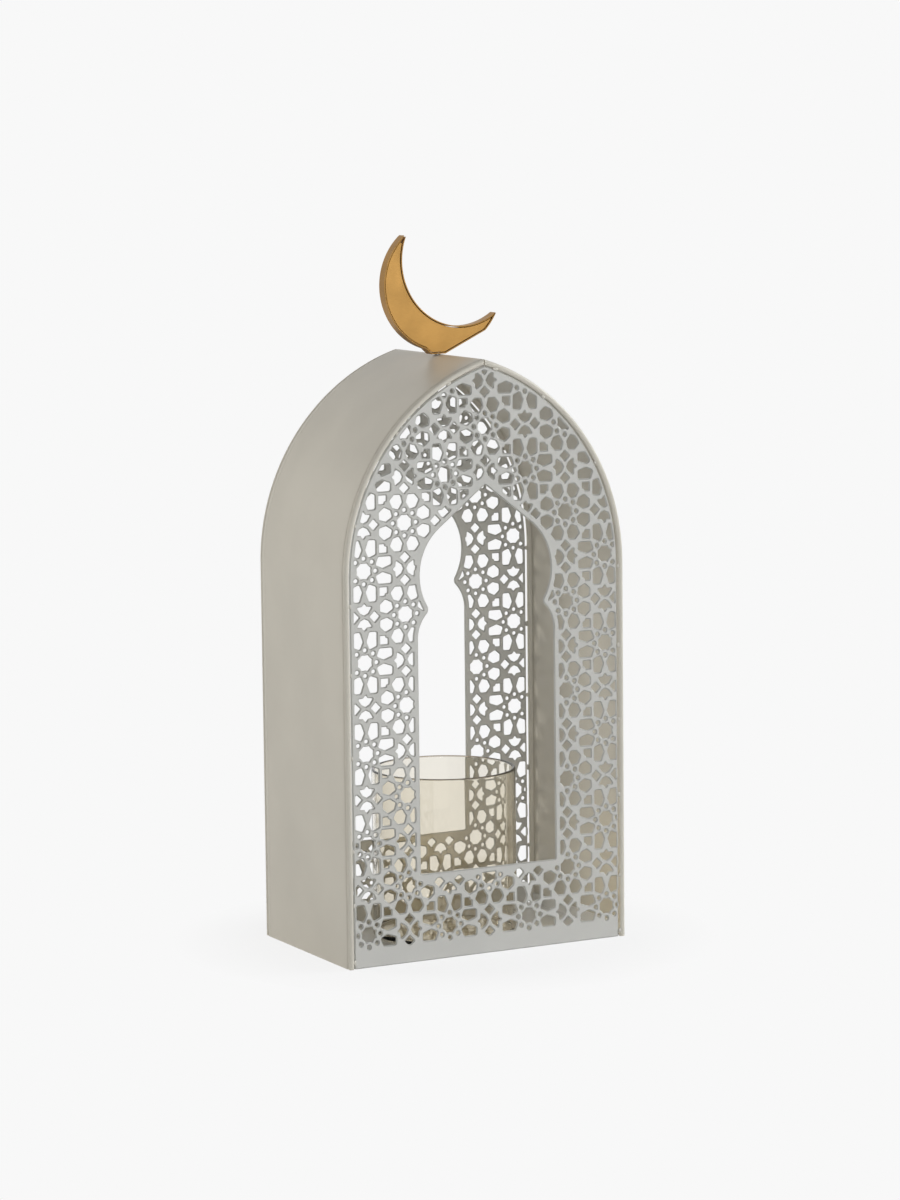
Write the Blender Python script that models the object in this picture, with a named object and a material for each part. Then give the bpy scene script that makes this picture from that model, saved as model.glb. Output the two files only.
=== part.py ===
# Arched table lantern with two pierced lattice faces, a glass cup and a crescent finial.
# X runs across the face, +Y to the back, +Z up. The origin is under the middle of the base.

import math

import bmesh
import bpy
from mathutils import Vector

MM = 0.001

# Shell: one strip bent up, over a pointed arch and down again.
body_width = 203.2 * MM
body_depth = 125.0 * MM
side_height = 249 * MM
arch_centre_offset = 40.35 * MM
shell_sheet = 1.0 * MM
bead_size = 3.6 * MM
ridge_slit_width = 0.9 * MM
ridge_slit_depth = 1.8 * MM

# Lattice faces.
face_gap = 0.6 * MM
face_recess = 0.5 * MM
face_sheet = 1.5 * MM
weld_tab_width = 3.0 * MM
weld_tab_pitch = 53 * MM
first_weld_tab = 41 * MM
bottom_band = 12.0 * MM
side_margin = 1.1 * MM
arch_margin = 2.6 * MM
smallest_hole = 2.2 * MM

# Keyhole opening in both faces.
opening_half_width = 49.5 * MM
opening_sill = 56.8 * MM
lower_lobe_radius = 22.8 * MM
lower_lobe_height = 208.8 * MM
upper_lobe_radius = 38.2 * MM
upper_lobe_offset = 9.5 * MM
upper_lobe_height = 249.1 * MM
shoulder_angle = math.radians(52)
nib_radius = 4.5 * MM
opening_border = 3.7 * MM

# Eightfold star lattice. Its outlines are drawn on a cell of 60 units.
lattice_pitch = 58.35 * MM
first_star_row = 21.5 * MM
cell_units = 60.0
star_radius = 5.3

# Base tray.
tray_sheet = 1.2 * MM
tray_flange = 8.0 * MM

# Glass cup.
cup_radius = 47.6 * MM
cup_rim_height = 113 * MM
cup_wall = 2.5 * MM
cup_floor = 4.0 * MM
cup_foot_round = 2.0 * MM
cup_lip_bevel = 0.75 * MM
cup_sides = 40

# Crescent finial: two plates between an outer and an inner band.
crescent_radius = 43.1 * MM
crescent_shift = 2.3 * MM
crescent_depth = 7.4 * MM
crescent_sheet = 0.8 * MM
crescent_inset = 0.4 * MM
horn_circle_radius = 43.2 * MM
horn_circle_shift = 20.9 * MM
horn_circle_angle = math.radians(50.6)
upper_horn_cut = 2.9 * MM
side_horn_cut = 0.9 * MM
foot_height = 1.5 * MM
foot_left = 7.1 * MM
foot_right = 3.1 * MM
foot_left_angle = math.radians(252)
foot_right_angle = math.radians(315)
foot_corner_shift = 0.3

# Fixing of the crescent through the ridge.
bolt_diameter = 2.5 * MM
bolt_head_height = 2.0 * MM
bolt_overhang = 2.0 * MM
nut_across_flats = 5.0 * MM
nut_height = 2.0 * MM
saddle_half_width = 8.0 * MM
saddle_half_depth = 7.0 * MM
saddle_edge_height = 2.0 * MM

# Clearance between neighbouring pieces, and how far a cutter runs past what it cuts.
piece_gap = 0.3 * MM
overrun = 5.0 * MM

arch_steps = 22
lobe_steps = 9
nib_steps = 4
long_horn_steps = 23
short_horn_steps = 4
hollow_steps = 28
bolt_sides = 20

half_width = body_width / 2
half_depth = body_depth / 2
arch_radius = half_width + arch_centre_offset
tray_top = tray_sheet


def arch_apex(inset):
    """Height of the arch's point, for the outline set in by inset."""
    return side_height + math.sqrt((arch_radius - inset) ** 2 - arch_centre_offset ** 2)


def arch_side(inset):
    """Right half of the arch's outline, from the springing to the point."""
    sweep = math.acos(arch_centre_offset / arch_radius)
    radius = arch_radius - inset
    points = []
    for step in range(arch_steps):
        angle = sweep * step / arch_steps
        x = radius * math.cos(angle) - arch_centre_offset
        points.append((x, side_height + radius * math.sin(angle)))
    points.append((0.0, arch_apex(inset)))
    return points


def face_inset():
    """How far a lattice face's edge lies inside the shell's outer surface."""
    return bead_size + face_gap


def mirrored(right_half):
    """A closed outline from its right half, which starts and ends where it meets its mirror image."""
    left_half = [(-x, z) for x, z in reversed(right_half) if abs(x) > 1e-9]
    return right_half + left_half


def place(obj, material):
    """Put a finished piece in the scene with its material."""
    obj.data.materials.append(material)
    bpy.context.scene.collection.objects.link(obj)
    return obj


def finish_material(name, colour, roughness, metallic, transmission=0.0):
    """A Principled material for one piece."""
    material = bpy.data.materials.new(name)
    material.use_nodes = True
    shader = material.node_tree.nodes["Principled BSDF"]
    shader.inputs["Base Color"].default_value = (*colour, 1.0)
    shader.inputs["Roughness"].default_value = roughness
    shader.inputs["Metallic"].default_value = metallic
    shader.inputs["Transmission Weight"].default_value = transmission
    return material


def mesh_from(name, fill):
    """A mesh object whose closed shape is made by fill, with its faces turned outwards."""
    mesh = bpy.data.meshes.new(name)
    grid = bmesh.new()
    fill(grid)
    if grid.calc_volume(signed=True) < 0:
        bmesh.ops.reverse_faces(grid, faces=grid.faces)
    grid.to_mesh(mesh)
    grid.free()
    return bpy.data.objects.new(name, mesh)


def signed_area(outline):
    """Area of an outline, positive when it runs anticlockwise as seen from the front."""
    pairs = zip(outline, outline[1:] + outline[:1])
    return sum(x * after_z - after_x * z for (x, z), (after_x, after_z) in pairs) / 2


def add_prism(grid, outline, front, back):
    """Extrude one closed outline of the X-Z plane from front to back along Y."""
    if signed_area(outline) < 0:
        outline = outline[::-1]
    near = [grid.verts.new((x, front, z)) for x, z in outline]
    far = [grid.verts.new((x, back, z)) for x, z in outline]
    grid.faces.new(near)
    grid.faces.new(far[::-1])
    for corner in range(len(near)):
        before = corner - 1
        grid.faces.new((near[corner], near[before], far[before], far[corner]))


def prism(name, outlines, front, back):
    """A piece or a cutter made of extruded outlines."""
    return mesh_from(name, lambda grid: [add_prism(grid, outline, front, back) for outline in outlines])


def turned(name, profile, sides):
    """A closed solid turned about the Z axis, from a profile whose ends lie on the axis."""
    def fill(grid):
        points = [grid.verts.new((radius, 0.0, z)) for radius, z in profile]
        edges = [grid.edges.new(pair) for pair in zip(points, points[1:])]
        bmesh.ops.spin(grid, geom=points + edges, axis=(0, 0, 1), cent=(0, 0, 0),
                       steps=sides, angle=2 * math.pi)
        bmesh.ops.remove_doubles(grid, verts=grid.verts, dist=1e-6)
    return mesh_from(name, fill)


def round_bar(name, radius, bottom, top, sides):
    """A plain cylinder on the Z axis."""
    return turned(name, [(0.0, bottom), (radius, bottom), (radius, top), (0.0, top)], sides)


def cutter(obj):
    """Show a helper shape as wire and keep it out of the model."""
    obj.hide_render = True
    obj.display_type = 'WIRE'
    if obj.name not in bpy.context.scene.collection.objects:
        bpy.context.scene.collection.objects.link(obj)
    return obj


def boolean(obj, tool, operation):
    """Cut one object with another."""
    modifier = obj.modifiers.new(tool.name, 'BOOLEAN')
    modifier.operation = operation
    modifier.solver = 'EXACT'
    modifier.object = tool


def smooth(obj, sharp_angle=math.radians(35)):
    """Shade round surfaces smooth and keep their edges sharp."""
    obj.data.shade_smooth()
    obj.data.set_sharp_from_angle(angle=sharp_angle)
    return obj


# Shell strip.

def shell_section():
    """Section of the strip as (distance in from the outer surface, Y), with a rolled bead at each edge."""
    bead_radius = bead_size / 2
    bead_centre = half_depth - bead_radius
    front = []
    for degrees in (180, 225, 270, 315, 360, 405):
        angle = math.radians(degrees)
        inset = bead_radius + bead_radius * math.cos(angle)
        front.append((inset, -bead_centre + bead_radius * math.sin(angle)))
    front.append((shell_sheet, -half_depth + bead_size))
    back = [(inset, -y) for inset, y in reversed(front)]
    return front + back


def strip_path(inset):
    """The strip's line at one depth of its thickness, from the left foot over the point to the right."""
    right = [(half_width - inset, 0.0)] + arch_side(inset)
    left = [(-x, z) for x, z in right[:-1]]
    return left + right[::-1]


def shell_strip(material):
    section = shell_section()
    lines = [strip_path(inset) for inset, _ in section]

    def fill(grid):
        rings = []
        for station in range(len(lines[0])):
            ring = []
            for (_, y), line in zip(section, lines):
                x, z = line[station]
                ring.append(grid.verts.new((x, y, z)))
            rings.append(ring)
        for ring, following in zip(rings, rings[1:]):
            for corner in range(len(ring)):
                after = (corner + 1) % len(ring)
                grid.faces.new((ring[corner], ring[after], following[after], following[corner]))
        grid.faces.new(rings[0][::-1])
        grid.faces.new(rings[-1])

    strip = mesh_from("shell_strip", fill)
    top = arch_apex(0.0) + overrun
    low = arch_apex(bead_size) - overrun
    half_slit = ridge_slit_width / 2
    slit = [(-half_slit, low), (half_slit, low), (half_slit, top), (-half_slit, top)]
    slit_end = half_depth - ridge_slit_depth
    for name, start, end in (("front_slit", -half_depth - overrun, -slit_end),
                             ("back_slit", slit_end, half_depth + overrun)):
        boolean(strip, cutter(prism(name, [slit], start, end)), 'DIFFERENCE')
    boolean(strip, bolt_hole_cutter(), 'DIFFERENCE')
    return place(smooth(strip), material)


# Keyhole opening.

def nib_centre(reach):
    """Centre of the circle that lies the given distance outside both lobes of the opening's right side."""
    low = Vector((opening_half_width - lower_lobe_radius, lower_lobe_height))
    high = Vector((upper_lobe_offset, upper_lobe_height))
    to_low = lower_lobe_radius + reach
    to_high = upper_lobe_radius + reach
    between = high - low
    distance = between.length
    along = (distance ** 2 + to_low ** 2 - to_high ** 2) / (2 * distance)
    across = math.sqrt(to_low ** 2 - along ** 2)
    direction = between / distance
    outward = Vector((direction.y, -direction.x))
    return low + direction * along + outward * across


def arc(centre, radius, start, end, steps):
    """Points on a circle, from one angle to another."""
    angles = [start + (end - start) * step / steps for step in range(steps + 1)]
    return [(centre[0] + radius * math.cos(a), centre[1] + radius * math.sin(a)) for a in angles]


def keyhole(offset):
    """The opening's outline, set outwards by offset, with a rounded nib between its lobes."""
    low = (opening_half_width - lower_lobe_radius, lower_lobe_height)
    high = (upper_lobe_offset, upper_lobe_height)
    low_radius = lower_lobe_radius + offset
    high_radius = upper_lobe_radius + offset
    rounding = max(nib_radius - offset, 0.0)
    nib = nib_centre(rounding + offset)
    low_end = math.atan2(nib.y - low[1], nib.x - low[0])
    high_start = math.atan2(nib.y - high[1], nib.x - high[0])
    shoulder = (high[0] + high_radius * math.cos(shoulder_angle),
                high[1] + high_radius * math.sin(shoulder_angle))
    apex = shoulder[1] + shoulder[0] / math.tan(shoulder_angle)
    right = [(opening_half_width + offset, opening_sill - offset)]
    right += arc(low, low_radius, 0.0, low_end, lobe_steps)
    if rounding > 0.0:
        right += arc(nib, rounding, low_end + math.pi, high_start + math.pi, nib_steps)[1:-1]
        right += arc(high, high_radius, high_start, shoulder_angle, 2 * lobe_steps)
    else:
        right += arc(high, high_radius, high_start, shoulder_angle, 2 * lobe_steps)[1:]
    right += [(0.0, apex)]
    return mirrored(right)


# Lattice of eight-pointed stars.

def turned_outline(outline, turn, flip):
    """An outline mirrored if flip is set, then turned about its star or crossing."""
    points = [(-x, z) for x, z in reversed(outline)] if flip else outline
    cosine, sine = math.cos(turn), math.sin(turn)
    return [(x * cosine - z * sine, x * sine + z * cosine) for x, z in points]


def star_hole():
    """An octagon for the star's eight small lobes."""
    turns = [(lobe + 0.5) * math.pi / 4 for lobe in range(8)]
    return [(star_radius * math.cos(turn), star_radius * math.sin(turn)) for turn in turns]


broad_petal = [(2.9, 18.3), (1.5, 13.4), (4.3, 8.9), (8.4, 10.1), (10.6, 14.7), (7.4, 18.4)]
long_petal = [(3.6, 20.0), (1.4, 13.8), (3.6, 8.7), (8.7, 10.7), (8.7, 19.9)]
crossing_crown = [(-5.2, 6.4), (-2.5, 2.2), (2.5, 2.2), (5.2, 6.4), (0.0, 8.6)]
crossing_diamond = [(7.4, 3.4), (4.0, 0.0), (7.4, -3.4), (10.8, 0.0)]
corner_square = [(11.4, 11.4), (16.7, 11.4), (16.7, 16.7), (11.4, 16.7)]


def star_holes(petal, has_squares):
    """Holes round one star: the star, four pairs of petals and, on one kind, four small squares."""
    holes = [star_hole()]
    for quarter in range(4):
        turn = quarter * math.pi / 2
        holes.append(turned_outline(petal, turn, False))
        holes.append(turned_outline(petal, turn, True))
        if has_squares:
            holes.append(turned_outline(corner_square, turn, False))
    return holes


def crossing_holes(turn):
    """Holes at a crossing between four stars: two crowns back to back and two diamonds."""
    holes = []
    for half in (0.0, math.pi):
        holes.append(turned_outline(crossing_crown, turn + half, False))
        holes.append(turned_outline(crossing_diamond, turn + half, False))
    return holes


def lattice_outlines():
    """All hole outlines over the whole face, row by row from the lowest stars."""
    scale = lattice_pitch / cell_units
    half_pitch = lattice_pitch / 2
    columns = math.ceil(half_width / half_pitch)
    rows = math.ceil(arch_apex(0.0) / half_pitch)
    outlines = []
    for row in range(-1, rows + 1):
        for column in range(-columns, columns + 1):
            if (row + column) % 2 == 0:
                local = crossing_holes(0.0 if column % 2 else math.pi / 2)
            elif column % 2:
                local = star_holes(long_petal, True)
            else:
                local = star_holes(broad_petal, False)
            centre_x = column * half_pitch
            centre_z = first_star_row + row * half_pitch
            for outline in local:
                outlines.append([(centre_x + x * scale, centre_z + z * scale) for x, z in outline])
    return outlines


def field_outline():
    """The part of a face that may be pierced, inside its plain edges."""
    inset = face_inset()
    side = half_width - inset - side_margin
    top = [(min(x, side), z) for x, z in arch_side(inset + arch_margin)]
    return mirrored([(side, bottom_band)] + top)


def without_slivers(obj):
    """Drop the cut-off bits that are too small to pierce, each judged by the size of its outline."""
    evaluated = obj.evaluated_get(bpy.context.evaluated_depsgraph_get())
    grid = bmesh.new()
    grid.from_mesh(evaluated.to_mesh())
    unseen = set(grid.verts)
    small = []
    while unseen:
        island = [unseen.pop()]
        for vert in island:
            for edge in vert.link_edges:
                other = edge.other_vert(vert)
                if other in unseen:
                    unseen.remove(other)
                    island.append(other)
        faces = {face for vert in island for face in vert.link_faces}
        area = sum(face.calc_area() for face in faces if abs(face.normal.y) > 0.5) / 2
        edge_length = sum(face.calc_area() for face in faces if abs(face.normal.y) < 0.5) / cutter_length()
        if 2 * area / edge_length < smallest_hole / 2:
            small += island
    bmesh.ops.delete(grid, geom=small, context='VERTS')
    mesh = bpy.data.meshes.new("lattice_holes")
    grid.to_mesh(mesh)
    grid.free()
    return bpy.data.objects.new("lattice_holes", mesh)


def cutter_length():
    """Length of the cutters that pass through both faces."""
    return body_depth + 2 * overrun


def face_cutters():
    """The opening and the lattice holes, long enough to cut both faces."""
    start, end = -cutter_length() / 2, cutter_length() / 2
    opening = cutter(prism("keyhole_opening", [keyhole(0.0)], start, end))
    border = cutter(prism("keyhole_border", [keyhole(opening_border)], start - overrun, end + overrun))
    field = cutter(prism("lattice_field", [field_outline()], start, end))
    boolean(field, border, 'DIFFERENCE')
    pattern = cutter(prism("lattice_pattern", lattice_outlines(), start - overrun, end + overrun))
    boolean(pattern, field, 'INTERSECT')
    return opening, cutter(without_slivers(pattern))


def weld_tab_places():
    """Distances along the right edge of a face, from the ground, at which it is tacked to the shell."""
    radius = arch_radius - face_inset()
    length = side_height + radius * math.acos(arch_centre_offset / radius)
    count = int((length - first_weld_tab) / weld_tab_pitch)
    return [first_weld_tab + weld_tab_pitch * number for number in range(count + 1)]


def edge_point(distance, inset):
    """A point on the right edge set in by inset, by its distance along the face's edge."""
    if distance <= side_height:
        return half_width - inset, distance
    angle = (distance - side_height) / (arch_radius - face_inset())
    radius = arch_radius - inset
    return radius * math.cos(angle) - arch_centre_offset, side_height + radius * math.sin(angle)


def face_outline():
    """Outline of a lattice face with its small weld tabs."""
    inset = face_inset()
    tab_inset = bead_size + piece_gap
    events = [(0.0, inset)]
    for place_along in weld_tab_places():
        start, end = place_along - weld_tab_width / 2, place_along + weld_tab_width / 2
        events += [(start, inset), (start, tab_inset), (end, tab_inset), (end, inset)]
    sweep = math.acos(arch_centre_offset / (arch_radius - inset))
    for step in range(arch_steps):
        along = side_height + (arch_radius - inset) * sweep * step / arch_steps
        if all(abs(along - place_along) > weld_tab_width for place_along in weld_tab_places()):
            events.append((along, inset))
    events.sort(key=lambda event: event[0])
    right = [edge_point(along, depth) for along, depth in events]
    return mirrored(right + [(0.0, arch_apex(inset))])


def lattice_face(name, front, cutters, material):
    """One pierced face, with the keyhole opening and the star lattice cut out."""
    face = prism(name, [face_outline()], front, front + face_sheet)
    for tool in cutters:
        boolean(face, tool, 'DIFFERENCE')
    return place(face, material)


# Base tray.

def base_tray(material):
    """Flat floor with a flange turned up along each side wall, notched round the shell's beads."""
    outer = half_width - shell_sheet - piece_gap
    inner = outer - tray_sheet
    flange_end = half_depth - bead_size - piece_gap
    floor_end = half_depth - face_recess - face_sheet - piece_gap
    notch = half_width - bead_size - piece_gap
    tray = prism("base_tray", [[(-outer, 0.0), (outer, 0.0), (outer, tray_flange), (inner, tray_flange),
                                (inner, tray_top), (-inner, tray_top), (-inner, tray_flange),
                                (-outer, tray_flange)]], -flange_end, flange_end)
    tongue = [(-notch, 0.0), (notch, 0.0), (notch, tray_top), (-notch, tray_top)]
    boolean(tray, cutter(prism("tray_floor", [tongue], -floor_end, floor_end)), 'UNION')
    return place(tray, material)


# Glass cup.

def glass_cup(material):
    """Straight-sided cup that stands on the tray, with its origin on its lift axis."""
    foot = tray_top + piece_gap
    inner = cup_radius - cup_wall
    lip = cup_lip_bevel
    profile = [(0.0, foot), (cup_radius - cup_foot_round, foot), (cup_radius, foot + cup_foot_round),
               (cup_radius, cup_rim_height - lip), (cup_radius - lip, cup_rim_height),
               (inner + lip, cup_rim_height), (inner, cup_rim_height - lip),
               (inner, foot + cup_floor + cup_foot_round), (inner - cup_foot_round, foot + cup_floor),
               (0.0, foot + cup_floor)]
    return place(smooth(turned("glass_cup", profile, cup_sides)), material)


# Crescent finial.

def crescent_base():
    """Height of the flat foot on which the crescent rests, just clear of the ridge."""
    return arch_apex(0.0) + piece_gap


def crescent_centre():
    """Centre of the crescent's outer circle."""
    return Vector((crescent_shift, crescent_base() + foot_height + crescent_radius))


def horn_centre():
    """Centre of the circle that hollows the crescent, shifted up to the right."""
    shift = Vector((math.cos(horn_circle_angle), math.sin(horn_circle_angle))) * horn_circle_shift
    return crescent_centre() + shift


def horn_half_angle(outer, inner):
    """Half the angle that is open between the horns, seen from the outer circle's centre."""
    along = (horn_circle_shift ** 2 + outer ** 2 - inner ** 2) / (2 * horn_circle_shift)
    return math.acos(along / outer)


def horn_half_angle_inside(outer, inner):
    """Half the angle of the hollow's arc, seen from the hollow's own centre."""
    along = (horn_circle_shift ** 2 + inner ** 2 - outer ** 2) / (2 * horn_circle_shift)
    return math.acos(along / inner)


def crescent_arcs(inset):
    """Outer line with its foot and inner line, both set in by inset, with the horns' tips cut back."""
    outer = crescent_radius - inset
    inner = horn_circle_radius + inset
    open_half = horn_half_angle(outer, inner)
    hollow_half = horn_half_angle_inside(outer, inner)
    hollow_middle = horn_circle_angle + math.pi
    start = horn_circle_angle + open_half + upper_horn_cut / outer
    end = horn_circle_angle + 2 * math.pi - open_half - side_horn_cut / outer
    base = crescent_base() + inset
    corner_shift = foot_corner_shift * inset
    outward = arc(crescent_centre(), outer, start, foot_left_angle, long_horn_steps)
    outward += [(corner_shift - foot_left, base), (foot_right - corner_shift, base)]
    outward += arc(crescent_centre(), outer, foot_right_angle, end, short_horn_steps)
    inward = arc(horn_centre(), inner, hollow_middle + hollow_half - side_horn_cut / inner,
                 hollow_middle - hollow_half + upper_horn_cut / inner, hollow_steps)
    return outward, inward


def crescent_plate(name, front, material):
    """A flat crescent that lies inside the two bands."""
    outward, inward = crescent_arcs(crescent_sheet + piece_gap)
    return place(prism(name, [outward + inward], front, front + crescent_sheet), material)


def outer_band(material):
    """Strip round the back of the crescent, from tip to tip, with a hole for the bolt."""
    outward, _ = crescent_arcs(0.0)
    lining, _ = crescent_arcs(crescent_sheet)
    half = crescent_depth / 2
    band = prism("crescent_outer_band", [outward + lining[::-1]], -half, half)
    boolean(band, bolt_hole_cutter(), 'DIFFERENCE')
    return place(smooth(band), material)


def inner_band(material):
    """Strip along the hollow of the crescent, which ends just short of the outer band."""
    _, inward = crescent_arcs(0.0)
    _, lining = crescent_arcs(crescent_sheet)
    half = crescent_depth / 2
    band = prism("crescent_inner_band", [inward + lining[::-1]], -half, half)
    return place(smooth(band), material)


# Bolt, saddle and nut that hold the crescent.

def bolt_hole_cutter():
    """Clearance hole for the bolt, through the crescent's band and the ridge."""
    existing = bpy.data.objects.get("bolt_hole")
    if existing:
        return existing
    top = arch_apex(0.0) + overrun
    return cutter(round_bar("bolt_hole", bolt_diameter / 2 + piece_gap, arch_apex(bead_size) - overrun,
                            top, bolt_sides))


def saddle_top(x):
    """Underside of the roof, less the clearance, at a distance x from the middle."""
    radius = arch_radius - shell_sheet
    roof = side_height + math.sqrt(radius ** 2 - (abs(x) + arch_centre_offset) ** 2)
    slope = math.asin(arch_centre_offset / radius)
    return roof - piece_gap / math.cos(slope)


def saddle_bottom():
    """Flat underside of the saddle, where the nut bears."""
    return saddle_top(saddle_half_width) - saddle_edge_height


def ridge_saddle(material):
    """Block under the ridge with a roof-shaped top and a flat underside for the nut."""
    w = saddle_half_width
    outline = [(-w, saddle_bottom()), (w, saddle_bottom()), (w, saddle_top(w)),
               (0.0, saddle_top(0.0)), (-w, saddle_top(w))]
    saddle = prism("ridge_saddle", [outline], -saddle_half_depth, saddle_half_depth)
    boolean(saddle, bolt_hole_cutter(), 'DIFFERENCE')
    return place(saddle, material)


def crescent_bolt(material):
    """Bolt with its flat head inside the crescent and its shank down through the ridge."""
    head_radius = crescent_depth / 2 - crescent_inset - crescent_sheet - piece_gap
    head_bottom = crescent_base() + crescent_sheet + piece_gap
    head_top = head_bottom + bolt_head_height
    tip = saddle_bottom() - piece_gap - nut_height - bolt_overhang
    shank = bolt_diameter / 2
    profile = [(0.0, tip), (shank, tip), (shank, head_bottom), (head_radius, head_bottom),
               (head_radius, head_top), (0.0, head_top)]
    return place(smooth(turned("crescent_bolt", profile, bolt_sides)), material)


def ridge_nut(material):
    """Hexagon nut under the saddle."""
    top = saddle_bottom() - piece_gap
    across_corners = nut_across_flats / 2 / math.cos(math.pi / 6)
    nut = round_bar("ridge_nut", across_corners, top - nut_height, top, 6)
    bore = round_bar("nut_bore", bolt_diameter / 2 + piece_gap, top - nut_height - overrun,
                     top + overrun, bolt_sides)
    boolean(nut, cutter(bore), 'DIFFERENCE')
    return place(nut, material)


def main():
    for obj in list(bpy.data.objects):
        bpy.data.objects.remove(obj)

    shell_paint = finish_material("shell_paint", (0.42, 0.37, 0.29), 0.4, 0.0)
    front_paint = finish_material("front_face_paint", (0.52, 0.5, 0.45), 0.42, 0.0)
    back_paint = finish_material("back_face_paint", (0.45, 0.44, 0.4), 0.42, 0.0)
    tray_paint = finish_material("tray_paint", (0.4, 0.37, 0.31), 0.5, 0.0)
    glass = finish_material("cup_glass", (0.98, 0.97, 0.94), 0.03, 0.0, 1.0)
    brass = finish_material("plate_brass", (0.55, 0.34, 0.1), 0.36, 1.0)
    band_brass = finish_material("band_brass", (0.5, 0.3, 0.09), 0.3, 1.0)
    zinc = finish_material("fixing_zinc", (0.6, 0.6, 0.58), 0.35, 1.0)
    saddle_metal = finish_material("saddle_metal", (0.3, 0.3, 0.3), 0.55, 0.6)

    shell_strip(shell_paint)
    cutters = face_cutters()
    lattice_face("front_lattice", -half_depth + face_recess, cutters, front_paint)
    lattice_face("back_lattice", half_depth - face_recess - face_sheet, cutters, back_paint)
    base_tray(tray_paint)
    glass_cup(glass)
    plate_front = -crescent_depth / 2 + crescent_inset
    crescent_plate("crescent_front_plate", plate_front, brass)
    crescent_plate("crescent_back_plate", -plate_front - crescent_sheet, brass)
    outer_band(band_brass)
    inner_band(band_brass)
    crescent_bolt(zinc)
    ridge_saddle(saddle_metal)
    ridge_nut(zinc)


main()
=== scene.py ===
"""Finish of an arched lattice lantern: painted shell, pierced faces, glass cup, crescent."""

import math

import bmesh
import bpy
from bpy.props import FloatProperty, FloatVectorProperty, IntProperty, PointerProperty
from mathutils import Euler, Matrix, Vector


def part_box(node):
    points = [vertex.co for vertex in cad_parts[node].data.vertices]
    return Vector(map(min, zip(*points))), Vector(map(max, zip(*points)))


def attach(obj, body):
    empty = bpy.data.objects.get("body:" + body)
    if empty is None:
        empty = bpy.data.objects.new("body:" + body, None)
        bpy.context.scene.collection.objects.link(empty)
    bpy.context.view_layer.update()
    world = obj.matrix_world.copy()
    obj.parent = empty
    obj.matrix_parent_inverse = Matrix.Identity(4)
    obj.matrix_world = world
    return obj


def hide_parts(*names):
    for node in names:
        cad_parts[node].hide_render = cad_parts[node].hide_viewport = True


bl_info = {
    "name": "Arched lattice lantern",
    "version": (1, 0, 0),
    "blender": (4, 5, 0),
    "location": "3D View > Sidebar > Lantern",
    "description": "Makes the finished surfaces of the lantern around its packed model",
    "category": "Object",
}

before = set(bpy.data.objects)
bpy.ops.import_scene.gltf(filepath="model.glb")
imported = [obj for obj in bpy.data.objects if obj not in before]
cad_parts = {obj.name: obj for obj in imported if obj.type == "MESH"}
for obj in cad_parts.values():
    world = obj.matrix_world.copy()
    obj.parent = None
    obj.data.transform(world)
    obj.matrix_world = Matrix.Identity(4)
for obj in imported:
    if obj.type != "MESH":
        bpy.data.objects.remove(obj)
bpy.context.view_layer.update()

MM = 0.001
TINY = 1e-9  # a distance from the axis below this counts as none
SAME_PLACE = 1e-6  # points closer than this are joined
SHARP_CORNER = math.radians(20)  # an outline's corners past this are rounded
LONGEST_REACH = 0.49  # share of a side that such a rounding may take
SHARP_EDGE = math.radians(30)  # a solid's edges past this are rounded
BEVEL_STEPS = 2
CREASE = math.radians(50)  # edges past this stay sharp when shaded smooth


# Properties.

def length(name, description, millimetres):
    """A length that is shown and stored in metres."""
    return FloatProperty(name=name, description=description, default=millimetres * MM, min=0.0,
                         precision=5, subtype='DISTANCE', unit='LENGTH')


def turn(name, description, degrees):
    """An angle given in degrees."""
    return FloatProperty(name=name, description=description, default=math.radians(degrees),
                         subtype='ANGLE', unit='ROTATION')


def share(name, description, default):
    """A plain factor from 0 to 1."""
    return FloatProperty(name=name, description=description, default=default, min=0.0, max=1.0,
                         subtype='FACTOR')


def colour(name, description, default):
    """A colour as linear red, green and blue."""
    return FloatVectorProperty(name=name, description=description, default=default, size=3,
                               min=0.0, max=1.0, subtype='COLOR')


def power(name, description, default):
    """The power of a lamp."""
    return FloatProperty(name=name, description=description, default=default, unit='POWER')


def count(name, description, default):
    """A number of steps or copies."""
    return IntProperty(name=name, description=description, default=default, min=1)


class ShellSettings(bpy.types.PropertyGroup):
    """Sizes of the strip that makes the sides and the pointed roof."""
    side_height: length("Side height", "Height at which the arch springs", 249)
    sheet: length("Sheet", "Thickness of the strip", 1.0)
    bead: length("Bead", "Diameter of the rolled bead on both edges", 3.6)
    groove: length("Groove", "Depth of the line where the bead closes on the wall", 0.6)
    hem: length("Hem", "Distance of the hem's end from the edge", 7.6)
    hem_step: length("Hem step", "Depth of the faint line at the hem's end", 0.1)
    slit_width: length("Slit width", "Width of the slit through the bead at the ridge", 0.9)
    slit_depth: length("Slit depth", "Depth of that slit from the edge", 1.8)
    bolt_hole: length("Bolt hole", "Radius of the hole through the ridge", 1.55)
    waviness: length("Waviness", "How far the hand-formed sheet strays from true", 0.16)
    wave_size: length("Wave size", "Distance over which it strays", 90)
    mesh_size: length("Mesh size", "Longest edge on the plain walls", 6)
    arch_steps: count("Arch steps", "Straight steps on each side of the arch", 72)


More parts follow.
